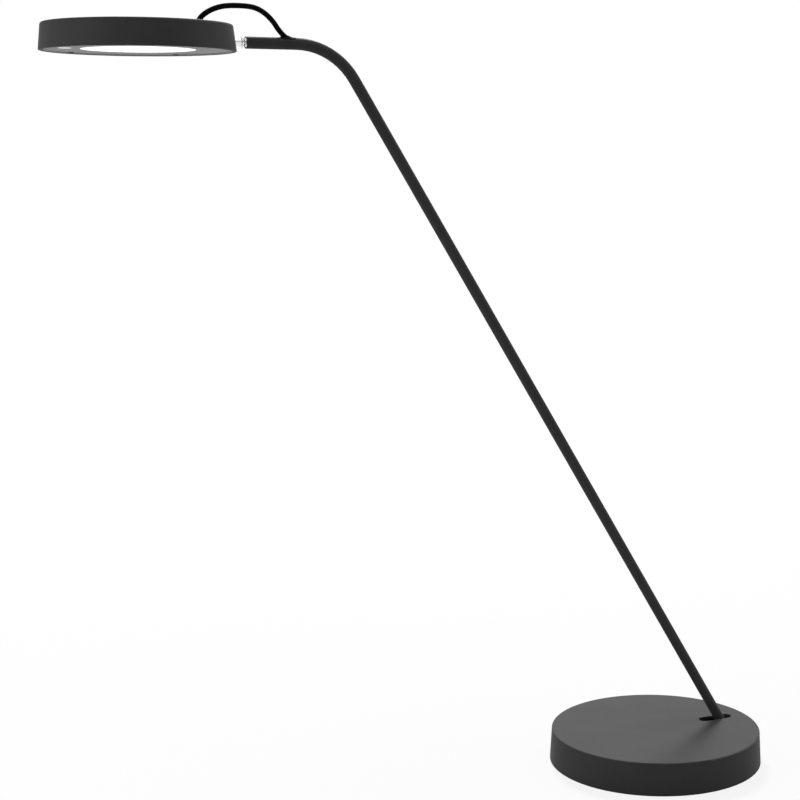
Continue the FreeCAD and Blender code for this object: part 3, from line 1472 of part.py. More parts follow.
def main():
    """Builds every sub-part, checks it and writes its file."""
    make_anti_slip_pad()
    make_base_cover()
    make_base_plate()
    make_base_plate_screws()
    make_ballast()
    make_inlet()
    make_hinge_bracket()
    make_bracket_screws()
    make_hinge_hardware()
    make_arm_knuckle()
    make_socket_screws()
    make_arm_tube()
    make_exit_lip()
    make_leads()
    make_loop()
    make_tilt_fork()
    make_stem()
    make_stem_rings()
    make_head_shell()
    make_head_grommet()
    make_stem_bearing()
    make_bezel()
    make_light_engine()
    make_dimmer()
    make_driver()
    make_head_wires()
    doc.recompute()
    for obj in doc.Objects:
        if "Invalid" in obj.State or "Error" in obj.State:
            raise RuntimeError(f"{obj.Name} failed: {obj.State}")
    os.makedirs("parts", exist_ok=True)
    for obj in nodes:
        if obj.Shape.isNull() or not obj.Shape.isValid() or not obj.Shape.Solids:
            raise RuntimeError(f"{obj.Label} has no valid solid")
        obj.Shape.exportStep(f"parts/{obj.Label}.step")
    print(f"{len(nodes)} sub-parts")


main()
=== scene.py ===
"""Looks of a round-headed LED desk lamp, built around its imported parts.

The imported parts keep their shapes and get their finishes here. The lead, its rubber fittings,
the turning stem, the dimmer's cap and its snap dome, the bezel's bead and its screw heads are
surfaces worked out in this script. Everything is in metres, +Z up, with the origin under the
middle of the base and the arm in the XZ plane.
"""

from __future__ import annotations

import json
import logging
import math
from abc import ABC, abstractmethod
from dataclasses import dataclass, field
from enum import Enum

import bmesh
import bpy
import numpy as np
from mathutils import Matrix, Vector
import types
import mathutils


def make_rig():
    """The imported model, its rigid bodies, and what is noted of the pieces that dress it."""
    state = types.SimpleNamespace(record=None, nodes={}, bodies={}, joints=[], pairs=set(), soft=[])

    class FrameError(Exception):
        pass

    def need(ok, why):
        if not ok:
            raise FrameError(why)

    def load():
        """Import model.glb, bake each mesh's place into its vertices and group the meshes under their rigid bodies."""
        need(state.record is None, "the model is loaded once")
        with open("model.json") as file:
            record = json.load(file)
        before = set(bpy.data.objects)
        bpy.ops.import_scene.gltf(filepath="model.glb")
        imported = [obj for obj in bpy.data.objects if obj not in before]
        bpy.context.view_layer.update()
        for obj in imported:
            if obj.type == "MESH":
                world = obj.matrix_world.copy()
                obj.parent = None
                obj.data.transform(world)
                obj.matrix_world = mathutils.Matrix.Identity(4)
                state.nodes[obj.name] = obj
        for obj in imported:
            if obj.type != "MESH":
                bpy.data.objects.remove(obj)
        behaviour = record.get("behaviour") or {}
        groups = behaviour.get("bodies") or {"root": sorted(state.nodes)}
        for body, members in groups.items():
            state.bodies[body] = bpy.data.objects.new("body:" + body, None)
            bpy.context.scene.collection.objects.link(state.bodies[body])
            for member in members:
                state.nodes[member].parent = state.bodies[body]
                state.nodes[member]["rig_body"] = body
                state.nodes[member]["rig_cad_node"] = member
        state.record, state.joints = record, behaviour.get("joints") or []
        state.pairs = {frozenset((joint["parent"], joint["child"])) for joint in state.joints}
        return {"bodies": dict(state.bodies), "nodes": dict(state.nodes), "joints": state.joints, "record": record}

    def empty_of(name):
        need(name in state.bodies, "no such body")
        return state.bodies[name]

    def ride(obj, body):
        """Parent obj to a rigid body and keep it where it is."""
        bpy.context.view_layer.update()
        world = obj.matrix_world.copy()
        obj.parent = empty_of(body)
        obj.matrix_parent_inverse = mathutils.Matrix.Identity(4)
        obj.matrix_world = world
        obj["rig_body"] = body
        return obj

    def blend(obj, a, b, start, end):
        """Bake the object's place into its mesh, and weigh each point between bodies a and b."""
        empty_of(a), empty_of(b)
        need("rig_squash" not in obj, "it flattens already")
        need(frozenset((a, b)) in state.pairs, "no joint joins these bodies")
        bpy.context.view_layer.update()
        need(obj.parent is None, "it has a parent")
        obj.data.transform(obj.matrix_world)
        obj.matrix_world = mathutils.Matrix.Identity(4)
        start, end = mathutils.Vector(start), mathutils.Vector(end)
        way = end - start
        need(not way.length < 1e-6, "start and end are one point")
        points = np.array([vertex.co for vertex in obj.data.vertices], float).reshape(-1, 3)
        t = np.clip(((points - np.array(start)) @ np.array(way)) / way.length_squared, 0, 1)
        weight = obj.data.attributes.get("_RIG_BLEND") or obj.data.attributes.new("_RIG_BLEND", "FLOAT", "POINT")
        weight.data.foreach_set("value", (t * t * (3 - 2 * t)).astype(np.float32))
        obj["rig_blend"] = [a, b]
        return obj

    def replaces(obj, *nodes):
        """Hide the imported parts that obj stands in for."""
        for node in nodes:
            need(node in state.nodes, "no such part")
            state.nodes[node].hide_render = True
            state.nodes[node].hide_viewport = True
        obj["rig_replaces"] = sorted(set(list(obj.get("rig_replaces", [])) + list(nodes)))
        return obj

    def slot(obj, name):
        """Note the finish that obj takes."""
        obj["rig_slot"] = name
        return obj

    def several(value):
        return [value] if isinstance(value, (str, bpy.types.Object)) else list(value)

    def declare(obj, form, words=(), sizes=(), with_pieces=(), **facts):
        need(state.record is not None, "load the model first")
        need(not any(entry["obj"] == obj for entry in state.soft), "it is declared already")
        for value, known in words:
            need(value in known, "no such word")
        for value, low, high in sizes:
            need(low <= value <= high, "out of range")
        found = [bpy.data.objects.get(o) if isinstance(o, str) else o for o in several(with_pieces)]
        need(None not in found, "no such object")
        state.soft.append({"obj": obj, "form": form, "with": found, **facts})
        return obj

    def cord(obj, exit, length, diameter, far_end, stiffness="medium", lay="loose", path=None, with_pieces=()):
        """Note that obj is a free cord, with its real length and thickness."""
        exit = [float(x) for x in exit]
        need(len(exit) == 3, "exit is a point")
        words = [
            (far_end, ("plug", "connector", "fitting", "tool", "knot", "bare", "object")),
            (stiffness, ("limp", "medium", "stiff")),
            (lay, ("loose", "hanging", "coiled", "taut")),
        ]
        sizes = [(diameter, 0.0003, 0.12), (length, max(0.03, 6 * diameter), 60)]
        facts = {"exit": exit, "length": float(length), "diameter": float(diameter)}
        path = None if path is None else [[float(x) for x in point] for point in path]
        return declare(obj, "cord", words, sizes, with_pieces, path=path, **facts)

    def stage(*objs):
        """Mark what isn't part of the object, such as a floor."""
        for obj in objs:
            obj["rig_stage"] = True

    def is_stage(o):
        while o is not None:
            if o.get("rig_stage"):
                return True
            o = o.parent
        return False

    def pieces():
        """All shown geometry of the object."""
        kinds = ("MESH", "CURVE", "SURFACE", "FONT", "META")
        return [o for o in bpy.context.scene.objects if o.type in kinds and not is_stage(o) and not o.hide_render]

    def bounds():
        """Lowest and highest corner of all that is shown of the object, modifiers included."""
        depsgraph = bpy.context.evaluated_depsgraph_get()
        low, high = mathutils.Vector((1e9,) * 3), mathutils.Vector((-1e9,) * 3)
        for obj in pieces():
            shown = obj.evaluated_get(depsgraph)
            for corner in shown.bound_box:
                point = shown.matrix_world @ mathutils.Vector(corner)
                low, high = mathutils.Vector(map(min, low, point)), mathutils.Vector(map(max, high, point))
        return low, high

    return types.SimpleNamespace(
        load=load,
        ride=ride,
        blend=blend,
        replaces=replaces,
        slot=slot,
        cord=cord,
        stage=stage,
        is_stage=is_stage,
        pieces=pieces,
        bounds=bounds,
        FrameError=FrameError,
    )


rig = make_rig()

MM = 0.001
Colour = tuple[float, float, float]
Point = tuple[float, float, float]
log = logging.getLogger("desk_lamp")


class Axis(Enum):
    """The line that a turned surface goes round, as the two directions across it and its own."""

    Z = ((1.0, 0.0, 0.0), (0.0, 1.0, 0.0), (0.0, 0.0, 1.0))
    X = ((0.0, 1.0, 0.0), (0.0, 0.0, 1.0), (1.0, 0.0, 0.0))


# ---- surfaces ----
def surface(name: str, rows: np.ndarray, closed: bool, sharp_deg: float = 30.0) -> bpy.types.Object:
    """Makes one closed skin from rings of points.

    Row i, column j is joined to row i + 1 and to column j + 1, and the last column to the first.
    Where the rows don't close on themselves, the first and last ring are closed by a fan to
    their middle.

    Args:
        name: The piece's name.
        rows: Points, shaped rings by columns by 3, in metres.
        closed: Whether the last ring joins the first.
        sharp_deg: Edges that turn more than this stay sharp.

    Returns:
        The new object, at the origin.
    """
    count, around = rows.shape[:2]
    ring = np.arange(count if closed else count - 1)[:, None]
    column = np.arange(around)[None, :]
    after, beside = (ring + 1) % count, (column + 1) % around
    quads = np.stack(
        [ring * around + column, ring * around + beside, after * around + beside, after * around + column],
        axis=-1,
    ).reshape(-1, 4)
    points = rows.reshape(-1, 3)
    faces = quads.tolist()
    if not closed:
        points = np.vstack([points, rows[0].mean(0), rows[-1].mean(0)])
        first, last = count * around, count * around + 1
        edge = np.arange(around)
        step = (edge + 1) % around
        start = np.stack([np.full(around, first), step, edge], axis=-1)
        base = (count - 1) * around
        end = np.stack([np.full(around, last), base + edge, base + step], axis=-1)
        faces += start.tolist() + end.tolist()
    mesh = bpy.data.meshes.new(name)
    mesh.from_pydata(points.tolist(), [], faces)
    work = bmesh.new()
    work.from_mesh(mesh)
    bmesh.ops.remove_doubles(work, verts=work.verts, dist=1e-7)
    bmesh.ops.recalc_face_normals(work, faces=work.faces)
    work.to_mesh(mesh)
    work.free()
    mesh.shade_smooth()
    mesh.set_sharp_from_angle(angle=math.radians(sharp_deg))
    made = bpy.data.objects.new(name, mesh)
    bpy.context.scene.collection.objects.link(made)
    return made


def rounded_profile(corners: list[tuple[float, float, float]], steps: int = 7) -> np.ndarray:
    """Rounds the corners of a closed outline.

    Each corner is (across, along, round). Its arc starts and ends at round times the tangent of
    half the turn from the corner, and a point stands just outside each end of the arc, so that
    the flats beside it shade flat.

    Args:
        corners: The outline's corners in order.
        steps: Points on each arc.

    Returns:
        Points, shaped n by 2.
    """
    spots = np.array([c[:2] for c in corners], float)
    found = []
    for i, (_, _, radius) in enumerate(corners):
        here, back, on = spots[i], spots[i - 1] - spots[i], spots[(i + 1) % len(spots)] - spots[i]
        if radius <= 0:
            found.append(here[None, :])
            continue
        back, on = back / np.linalg.norm(back), on / np.linalg.norm(on)
        half = math.acos(float(np.clip(-(back @ on), -1, 1))) / 2
        inset = radius * math.tan(half)
        middle = here + (back + on) / np.linalg.norm(back + on) * radius / math.cos(half)
        start, end = here + back * inset - middle, here + on * inset - middle
        share = np.linspace(0, 1, steps)[:, None]
        arc = start * np.sin((1 - share) * 2 * half) + end * np.sin(share * 2 * half)
        arc = middle + arc / math.sin(2 * half)
        guard = 0.12 * radius
        found += [(here + back * (inset + guard))[None, :], arc, (here + on * (inset + guard))[None, :]]
    return np.vstack(found)


def turned(name: str, profile: np.ndarray, centre: Point, axis: Axis, sides: int = 96) -> bpy.types.Object:
    """Turns a closed outline round an axis.

    A point of the outline at distance r and place s goes to
    centre + r (cos a, sin a) across the axis + s along it, for a from 0 to a full turn.

    Args:
        name: The piece's name.
        profile: Outline points, distance from the axis and place along it.
        centre: A point of the axis.
        axis: Its direction.
        sides: Points round the axis.

    Returns:
        The new object.
    """
    first, second, along = (np.array(v) for v in axis.value)
    angle = np.linspace(0, 2 * math.pi, sides, endpoint=False)
    circle = np.cos(angle)[:, None] * first + np.sin(angle)[:, None] * second
    rows = profile[:, 0, None, None] * circle[None] + profile[:, 1, None, None] * along
    return surface(name, rows + np.array(centre), closed=True)


def swept(name: str, path: np.ndarray, radius: float, across: Point, sides: int = 28) -> bpy.types.Object:
    """Carries a circle along a line, square to it, with slightly rounded ends.

    The circle's first direction is the given one, less its share along the line, and its second
    is the cross product of the line's direction and the first.

    Args:
        name: The piece's name.
        path: Points of the centre line.
        radius: The circle's radius.
        across: A direction that the line never takes.
        sides: Points round the circle.

    Returns:
        The new object.
    """
    heading = np.gradient(path, axis=0)
    heading /= np.linalg.norm(heading, axis=1)[:, None]
    first = np.array(across) - (heading @ np.array(across))[:, None] * heading
    first /= np.linalg.norm(first, axis=1)[:, None]
    second = np.cross(heading, first)
    angle = np.linspace(0, 2 * math.pi, sides, endpoint=False)[None, :, None]
    ring = np.cos(angle) * first[:, None, :] + np.sin(angle) * second[:, None, :]
    return surface(name, path[:, None, :] + radius * ring, closed=False, sharp_deg=50)


# ---- finishes ----
class Graph:
    """A material's nodes, with the few kinds that the finishes share."""

    def __init__(self, name: str) -> None:
        """Starts a material with one surface shader.

        Args:
            name: The material's name.
        """
        self.material = bpy.data.materials.new(name)
        self.material.use_nodes = True
        self.tree = self.material.node_tree
        self.tree.nodes.clear()
        self.shader = self.tree.nodes.new("ShaderNodeBsdfPrincipled")
        output = self.tree.nodes.new("ShaderNodeOutputMaterial")
        self.tree.links.new(self.shader.outputs["BSDF"], output.inputs["Surface"])
        self.place = self.tree.nodes.new("ShaderNodeTexCoord").outputs["Object"]

    def fix(self, **values: float | Colour) -> None:
        """Sets constant values on the shader's own sockets; underscores stand for spaces."""
        for name, value in values.items():
            socket = self.shader.inputs[name.replace("_", " ")]
            socket.default_value = (*value, 1.0) if isinstance(value, tuple) else value

    def feed(self, name: str, source: bpy.types.NodeSocket) -> None:
        """Links a varying value to a socket of the shader."""
        self.tree.links.new(source, self.shader.inputs[name])

    def noise(
        self, size: float, detail: float = 3.0, stretch: Point = (1.0, 1.0, 1.0)
    ) -> bpy.types.NodeSocket:
        """Cloudy noise.

        Args:
            size: Size of its lumps, in metres.
            detail: How many finer layers it has.
            stretch: Factors on the coordinates, below 1 to draw it out along an axis.

        Returns:
            A value about 0.5.
        """
        mapping = self.tree.nodes.new("ShaderNodeMapping")
        mapping.inputs["Scale"].default_value = tuple(f / size for f in stretch)
        self.tree.links.new(self.place, mapping.inputs["Vector"])
        node = self.tree.nodes.new("ShaderNodeTexNoise")
        node.inputs["Scale"].default_value = 1.0
        node.inputs["Detail"].default_value = detail
        self.tree.links.new(mapping.outputs["Vector"], node.inputs["Vector"])
        return node.outputs["Fac"]

    def cells(self, size: float) -> bpy.types.NodeSocket:
        """Distance to the nearest of scattered points, for pits and grains of that size."""
        node = self.tree.nodes.new("ShaderNodeTexVoronoi")
        node.inputs["Scale"].default_value = 1.0 / size
        self.tree.links.new(self.place, node.inputs["Vector"])
        return node.outputs["Distance"]

    def ranged(self, value: bpy.types.NodeSocket, low: float, high: float) -> bpy.types.NodeSocket:
        """Spreads noise between two values, with its middle half filling the range."""
        node = self.tree.nodes.new("ShaderNodeMapRange")
        node.inputs["From Min"].default_value = 0.25
        node.inputs["From Max"].default_value = 0.75
        node.inputs["To Min"].default_value = low
        node.inputs["To Max"].default_value = high
        self.tree.links.new(value, node.inputs["Value"])
        return node.outputs["Result"]

    def tint(self, value: bpy.types.NodeSocket, colour: Colour, spread: float) -> bpy.types.NodeSocket:
        """A colour that noise darkens and lightens by a share of itself."""
        node = self.tree.nodes.new("ShaderNodeMix")
        node.data_type = "RGBA"
        node.inputs["A"].default_value = (*(c * (1 - spread) for c in colour), 1.0)
        node.inputs["B"].default_value = (*(c * (1 + spread) for c in colour), 1.0)
        self.tree.links.new(self.ranged(value, 0.0, 1.0), node.inputs["Factor"])
        return node.outputs["Result"]

    def relief(
        self,
        height: bpy.types.NodeSocket,
        depth: float,
        under: bpy.types.NodeSocket | None = None,
    ) -> bpy.types.NodeSocket:
        """Bumps of a given depth in metres, on top of other bumps if given."""
        node = self.tree.nodes.new("ShaderNodeBump")
        node.inputs["Distance"].default_value = depth
        node.inputs["Strength"].default_value = 1.0
        self.tree.links.new(height, node.inputs["Height"])
        if under is not None:
            self.tree.links.new(under, node.inputs["Normal"])
        return node.outputs["Normal"]


@dataclass(frozen=True)
class Finish(ABC):
    """A surface finish. Its name is the record's material slot."""

    name: str

    @abstractmethod
    def paint(self, graph: Graph) -> None:
        """Sets up the nodes.

        Args:
            graph: The material to fill.
        """

    def material(self) -> bpy.types.Material:
        """Gives the finish's material, made the first time it is asked for.

        Returns:
            The material.
        """
        made = bpy.data.materials.get(self.name + "_finish")
        if made is None:
            graph = Graph(self.name + "_finish")
            self.paint(graph)
            made = graph.material
        return made

    def cover(self, piece: bpy.types.Object) -> None:
        """Gives a piece this finish only.

        Args:
            piece: A shown object.
        """
        piece.data.materials.clear()
        piece.data.materials.append(self.material())


@dataclass(frozen=True)
class Coat(Finish):
    """Stoved satin paint with a fine peel, a faint speckle and faint handling marks."""

    colour: Colour = (0.118, 0.118, 0.119)
    roughness: float = 0.6
    specular: float = 0.07
    peel: float = 0.0011
    peel_depth: float = 0.000006
    speckle: float = 0.00025

    def paint(self, graph: Graph) -> None:
        """Peel and speckle as bumps, slow clouds in colour, handling marks in roughness."""
        graph.fix(Specular_IOR_Level=self.specular)
        speckle = graph.noise(self.speckle, 2.0)
        peel = graph.relief(graph.noise(self.peel, 2.0), self.peel_depth)
        graph.feed("Normal", graph.relief(speckle, self.peel_depth * 0.5, peel))
        graph.feed("Base Color", graph.tint(graph.noise(0.018, 4.0), self.colour, 0.05))
        marks = graph.noise(0.035, 6.0)
        graph.feed("Roughness", graph.ranged(marks, self.roughness - 0.04, self.roughness + 0.05))


@dataclass(frozen=True)
class BareMetal(Finish):
    """Metal with drawn-out machining lines."""

    colour: Colour = (0.5, 0.5, 0.51)
    roughness: float = 0.34
    line: float = 0.00012
    line_depth: float = 0.000002
    drawn: Point = (1.0, 1.0, 0.05)

    def paint(self, graph: Graph) -> None:
        """Fine lines as bumps and in roughness, slow clouds in colour."""
        graph.fix(Metallic=1.0)
        lines = graph.noise(self.line, 3.0, self.drawn)
        graph.feed("Normal", graph.relief(lines, self.line_depth))
        graph.feed("Base Color", graph.tint(graph.noise(0.006, 4.0), self.colour, 0.08))
        graph.feed("Roughness", graph.ranged(lines, self.roughness - 0.07, self.roughness + 0.09))


@dataclass(frozen=True)
class CastMetal(Finish):
    """Sand-cast iron: coarse grain, dull, with darker hollows."""

    colour: Colour = (0.12, 0.118, 0.115)

    def paint(self, graph: Graph) -> None:
        """Grain and pits as bumps, and the pits darker."""
        graph.fix(Metallic=0.6)
        grain = graph.cells(0.0013)
        graph.feed("Normal", graph.relief(grain, 0.00022, graph.relief(graph.noise(0.009, 3.0), 0.0004)))
        graph.feed("Base Color", graph.tint(grain, self.colour, 0.3))
        graph.feed("Roughness", graph.ranged(grain, 0.6, 0.85))


@dataclass(frozen=True)
class Moulding(Finish):
    """Moulded plastic or rubber with a spark-eroded grain."""

    colour: Colour = (0.03, 0.03, 0.03)
    roughness: float = 0.5
    grain: float = 0.00045
    grain_depth: float = 0.00001
    spread: float = 0.05
    specular: float = 0.5
    glow: float = 0.0

    def paint(self, graph: Graph) -> None:
        """Grain as bumps, slow clouds in colour and roughness, and a painted glow where glow is set."""
        graph.fix(Specular_IOR_Level=self.specular)
        # A painted glow: emission that lifts the piece out of its shade, though it holds no lamp.
        if self.glow > 0:
            graph.fix(Emission_Color=(1.0, 1.0, 1.0), Emission_Strength=self.glow)
        graph.feed("Normal", graph.relief(graph.cells(self.grain), self.grain_depth))
        graph.feed("Base Color", graph.tint(graph.noise(0.012, 4.0), self.colour, self.spread))
        wear = graph.noise(0.02, 5.0)
        graph.feed("Roughness", graph.ranged(wear, self.roughness - 0.05, self.roughness + 0.06))


@dataclass(frozen=True)
class Plating(Finish):
    """Polished bright plating with faint smears."""

    colour: Colour = (0.83, 0.83, 0.84)

    def paint(self, graph: Graph) -> None:
        """A mirror with a slight waviness and smears in roughness."""
        graph.fix(Metallic=1.0)
        graph.feed("Normal", graph.relief(graph.noise(0.0024, 2.0), 0.000008))
        graph.feed("Base Color", graph.tint(graph.noise(0.004, 3.0), self.colour, 0.04))
        graph.feed("Roughness", graph.ranged(graph.noise(0.003, 5.0), 0.06, 0.15))


@dataclass(frozen=True)
class Opal(Finish):
    """Lit opal plastic: even, with a slightly weaker rim and a faint grain."""

    colour: Colour = (0.93, 0.93, 0.93)
    middle: tuple[float, float] = (-0.394, 0.0)
    radius: float = 0.0372
    glow: float = 1.0

    def paint(self, graph: Graph) -> None:
        """Light that falls by a twentieth from the middle of the disc to its edge."""
        tree = graph.tree
        mapping = tree.nodes.new("ShaderNodeMapping")
        mapping.inputs["Location"].default_value = tuple(-c / self.radius for c in (*self.middle, 0.0))
        mapping.inputs["Scale"].default_value = (1 / self.radius, 1 / self.radius, 0.0)
        tree.links.new(graph.place, mapping.inputs["Vector"])
        ball = tree.nodes.new("ShaderNodeTexGradient")
        ball.gradient_type = "QUADRATIC_SPHERE"
        tree.links.new(mapping.outputs["Vector"], ball.inputs["Vector"])
        ramp = tree.nodes.new("ShaderNodeMapRange")
        ramp.inputs["To Min"].default_value = self.glow * 0.97
        ramp.inputs["To Max"].default_value = self.glow * 1.02
        tree.links.new(ball.outputs["Fac"], ramp.inputs["Value"])
        graph.feed("Emission Strength", ramp.outputs["Result"])
        graph.fix(Emission_Color=(1.0, 1.0, 1.0), Roughness=0.4)
        graph.feed("Base Color", graph.tint(graph.noise(0.004, 3.0), self.colour, 0.015))
        graph.feed("Normal", graph.relief(graph.noise(0.0006, 2.0), 0.000008))


@dataclass(frozen=True)
class Board(Finish):
    """A circuit board's mask: tracks show as slightly lighter bands."""

    colour: Colour = (0.04, 0.17, 0.08)
    track: float = 0.0021

    def paint(self, graph: Graph) -> None:
        """Blocky cells as tracks, in colour and as a low step."""
        tree = graph.tree
        bricks = tree.nodes.new("ShaderNodeTexBrick")
        bricks.inputs["Scale"].default_value = 1 / self.track
        bricks.inputs["Color1"].default_value = (*self.colour, 1.0)
        bricks.inputs["Color2"].default_value = (*(c * 1.35 for c in self.colour), 1.0)
        bricks.inputs["Mortar"].default_value = (*(c * 0.7 for c in self.colour), 1.0)
        tree.links.new(graph.place, bricks.inputs["Vector"])
        graph.feed("Base Color", bricks.outputs["Color"])
        graph.feed("Normal", graph.relief(bricks.outputs["Fac"], -0.00003))
        graph.feed("Roughness", graph.ranged(graph.noise(0.003, 3.0), 0.28, 0.42))


FINISHES: tuple[Finish, ...] = (
    Coat("base_paint"),
    Coat("tube_paint", colour=(0.110, 0.110, 0.111)),
    Coat("head_coat"),
    CastMetal("cast_iron"),
    BareMetal("zinc_plate", colour=(0.62, 0.62, 0.6), roughness=0.38, drawn=(0.05, 1.0, 1.0)),
    BareMetal("steel", colour=(0.56, 0.56, 0.57)),
    Moulding(
        "dark_steel",
        colour=(0.02, 0.02, 0.021),
        roughness=0.5,
        grain=0.00012,
        grain_depth=0.000003,
        specular=0.3,
    ),
    BareMetal("spring_steel", colour=(0.4, 0.4, 0.41), roughness=0.3),
    Moulding("rubber_black", colour=(0.005, 0.005, 0.005), roughness=0.75, grain_depth=0.00001, specular=0.1),
    Moulding(
        "lead_jacket",
        colour=(0.0025, 0.0025, 0.0025),
        roughness=0.65,
        grain=0.0003,
        grain_depth=0.000004,
        specular=0.05,
    ),
    Plating("chrome"),
    Moulding("bezel_plastic", colour=(0.5, 0.5, 0.502), roughness=0.55, specular=0.25),
    Opal("diffuser_opal"),
    # The dimmer's cap gets a painted glow of 0.55 that lightens it in the head's shade; it holds no lamp.
    Moulding("button_white", colour=(0.86, 0.86, 0.86), roughness=0.42, spread=0.02, glow=0.55),
    Moulding("reflector_white", colour=(0.88, 0.88, 0.87), roughness=0.35, spread=0.02),
    Moulding("black_plastic", colour=(0.022, 0.022, 0.022), roughness=0.45),
    Moulding("acetal", colour=(0.72, 0.71, 0.67), roughness=0.36, spread=0.03),
    BareMetal("aluminium", colour=(0.74, 0.74, 0.75), roughness=0.3),
    Board("board_white", colour=(0.78, 0.78, 0.75), track=0.004),
    Board("board_green"),
    Moulding("chip_yellow", colour=(0.85, 0.68, 0.2), roughness=0.4, grain=0.0002),
    Moulding("component_black", colour=(0.03, 0.03, 0.033), roughness=0.5),
    BareMetal("contact", colour=(0.75, 0.62, 0.36), roughness=0.25),
    Moulding("wire_insulation", colour=(0.32, 0.03, 0.022), roughness=0.45),
)


@dataclass
class Lamp:
    """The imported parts, and what every sub-assembly needs from them."""

    frame: dict = field(default_factory=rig.load)
    finishes: dict[str, Finish] = field(default_factory=lambda: {f.name: f for f in FINISHES})

    def dress(self, *nodes: str) -> None:
        """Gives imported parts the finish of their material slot.

        Args:
            nodes: Names of the parts.
        """
        slots = {s["node"]: s["material_slot"] for s in self.frame["record"]["subparts"]}
        for node in nodes:
            self.finishes[slots[node]].cover(self.frame["nodes"][node])
            log.info("%s: packed part, %s", node, slots[node])

    def add(
        self, piece: bpy.types.Object, slot: str, node: str | None, body: str | None = None
    ) -> bpy.types.Object:
        """Finishes a new piece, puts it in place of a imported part, and mounts it on a body.

        Args:
            piece: The new object.
            slot: Its material slot.
            node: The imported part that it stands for, or None where it is added to them.
            body: The body that it rides on, or None where it bends between two.

        Returns:
            The same object.
        """
        self.finishes[slot].cover(piece)
        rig.slot(piece, slot)
        if node is not None:
            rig.replaces(piece, node)
        if body is not None:
            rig.ride(piece, body)
        log.info("%s: new piece, %s, %d faces", piece.name, slot, len(piece.data.polygons))
        return piece


@dataclass
class Lead:
    """A length of the round lead on a smooth line between two bodies."""

    name: str
    node: str
    route: list[Point]
    length: float
    bodies: tuple[str, str]
    bend: tuple[Point, Point]
    across: Point = (0.0, 1.0, 0.0)
    diameter: float = 3.6 * MM

    def line(self) -> np.ndarray:
        """Reads points of the smooth line that the route controls.

        Returns:
            Points, in metres, from first to last.
        """
        curve = bpy.data.curves.new(self.name + "_line", "CURVE")
        curve.dimensions = "3D"
        curve.resolution_u = 24
        spline = curve.splines.new("NURBS")
        spline.points.add(len(self.route) - 1)
        spline.points.foreach_set("co", np.array([(*p, 1.0) for p in self.route]).ravel())
        spline.order_u = 3
        spline.use_endpoint_u = True
        holder = bpy.data.objects.new(self.name + "_line", curve)
        bpy.context.scene.collection.objects.link(holder)
        mesh = bpy.data.meshes.new_from_object(holder)
        points = np.empty(len(mesh.vertices) * 3)
        mesh.vertices.foreach_get("co", points)
        bpy.data.objects.remove(holder)
        bpy.data.meshes.remove(mesh)
        return points.reshape(-1, 3)

    def build(self, lamp: Lamp) -> bpy.types.Object:
        """Sweeps the lead, declares its real length and lets it bend between its bodies.

        Args:
            lamp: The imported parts.

        Returns:
            The new piece.
        """
        path = self.line()
        piece = swept(self.name, path, self.diameter / 2, self.across)
        lamp.add(piece, "lead_jacket", self.node)
        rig.blend(piece, *self.bodies, start=self.bend[0], end=self.bend[1])
        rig.cord(
            piece,
            exit=tuple(path[0]),
            length=self.length,
            diameter=self.diameter,
            far_end="object",
            stiffness="medium",
            lay="loose",
            path=path.tolist(),
        )
        return piece


@dataclass
class Base:
    """The weighted base with the arm's hinge and the power inlet."""

    lead_route: list[Point] = field(
        default_factory=lambda: [
            (0.04554, 0.05427, 0.014),
            (0.04027, 0.04799, 0.014),
            (0.03968, 0.0305, 0.014),
            (0.04598, 0.0215, 0.014),
            (0.06198, 0.0200, 0.0138),
            (0.07648, 0.0175, 0.0132),
            (0.07958, 0.0090, 0.0124),
            (0.07998, 0.0, 0.0120),
            (0.07508, 0.0, 0.0120),
        ]
    )

    def build(self, lamp: Lamp) -> None:
        """Dresses the base's parts and lays the lead from the inlet to the arm.

        Args:
            lamp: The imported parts.
        """
        lamp.dress(
            "base_cover",
            "counterweight_ballast",
            "base_plate",
            "base_plate_screws",
            "anti_slip_pad",
            "hinge_bracket",
            "bracket_screws",
            "hinge_trunnion_screws",
            "hinge_friction_washers",
            "hinge_disc_springs",
            "dc_inlet",
            "dc_inlet_contact",
            "dc_inlet_nut",
        )
        Lead(
            name="lead_in_base",
            node="base_lead",
            route=self.lead_route,
            length=0.0862,
            bodies=("base", "arm"),
            bend=((0.0794, 0.009, 0.0124), (0.0752, 0.0, 0.012)),
            across=(0.0, 0.0, 1.0),
        ).build(lamp)


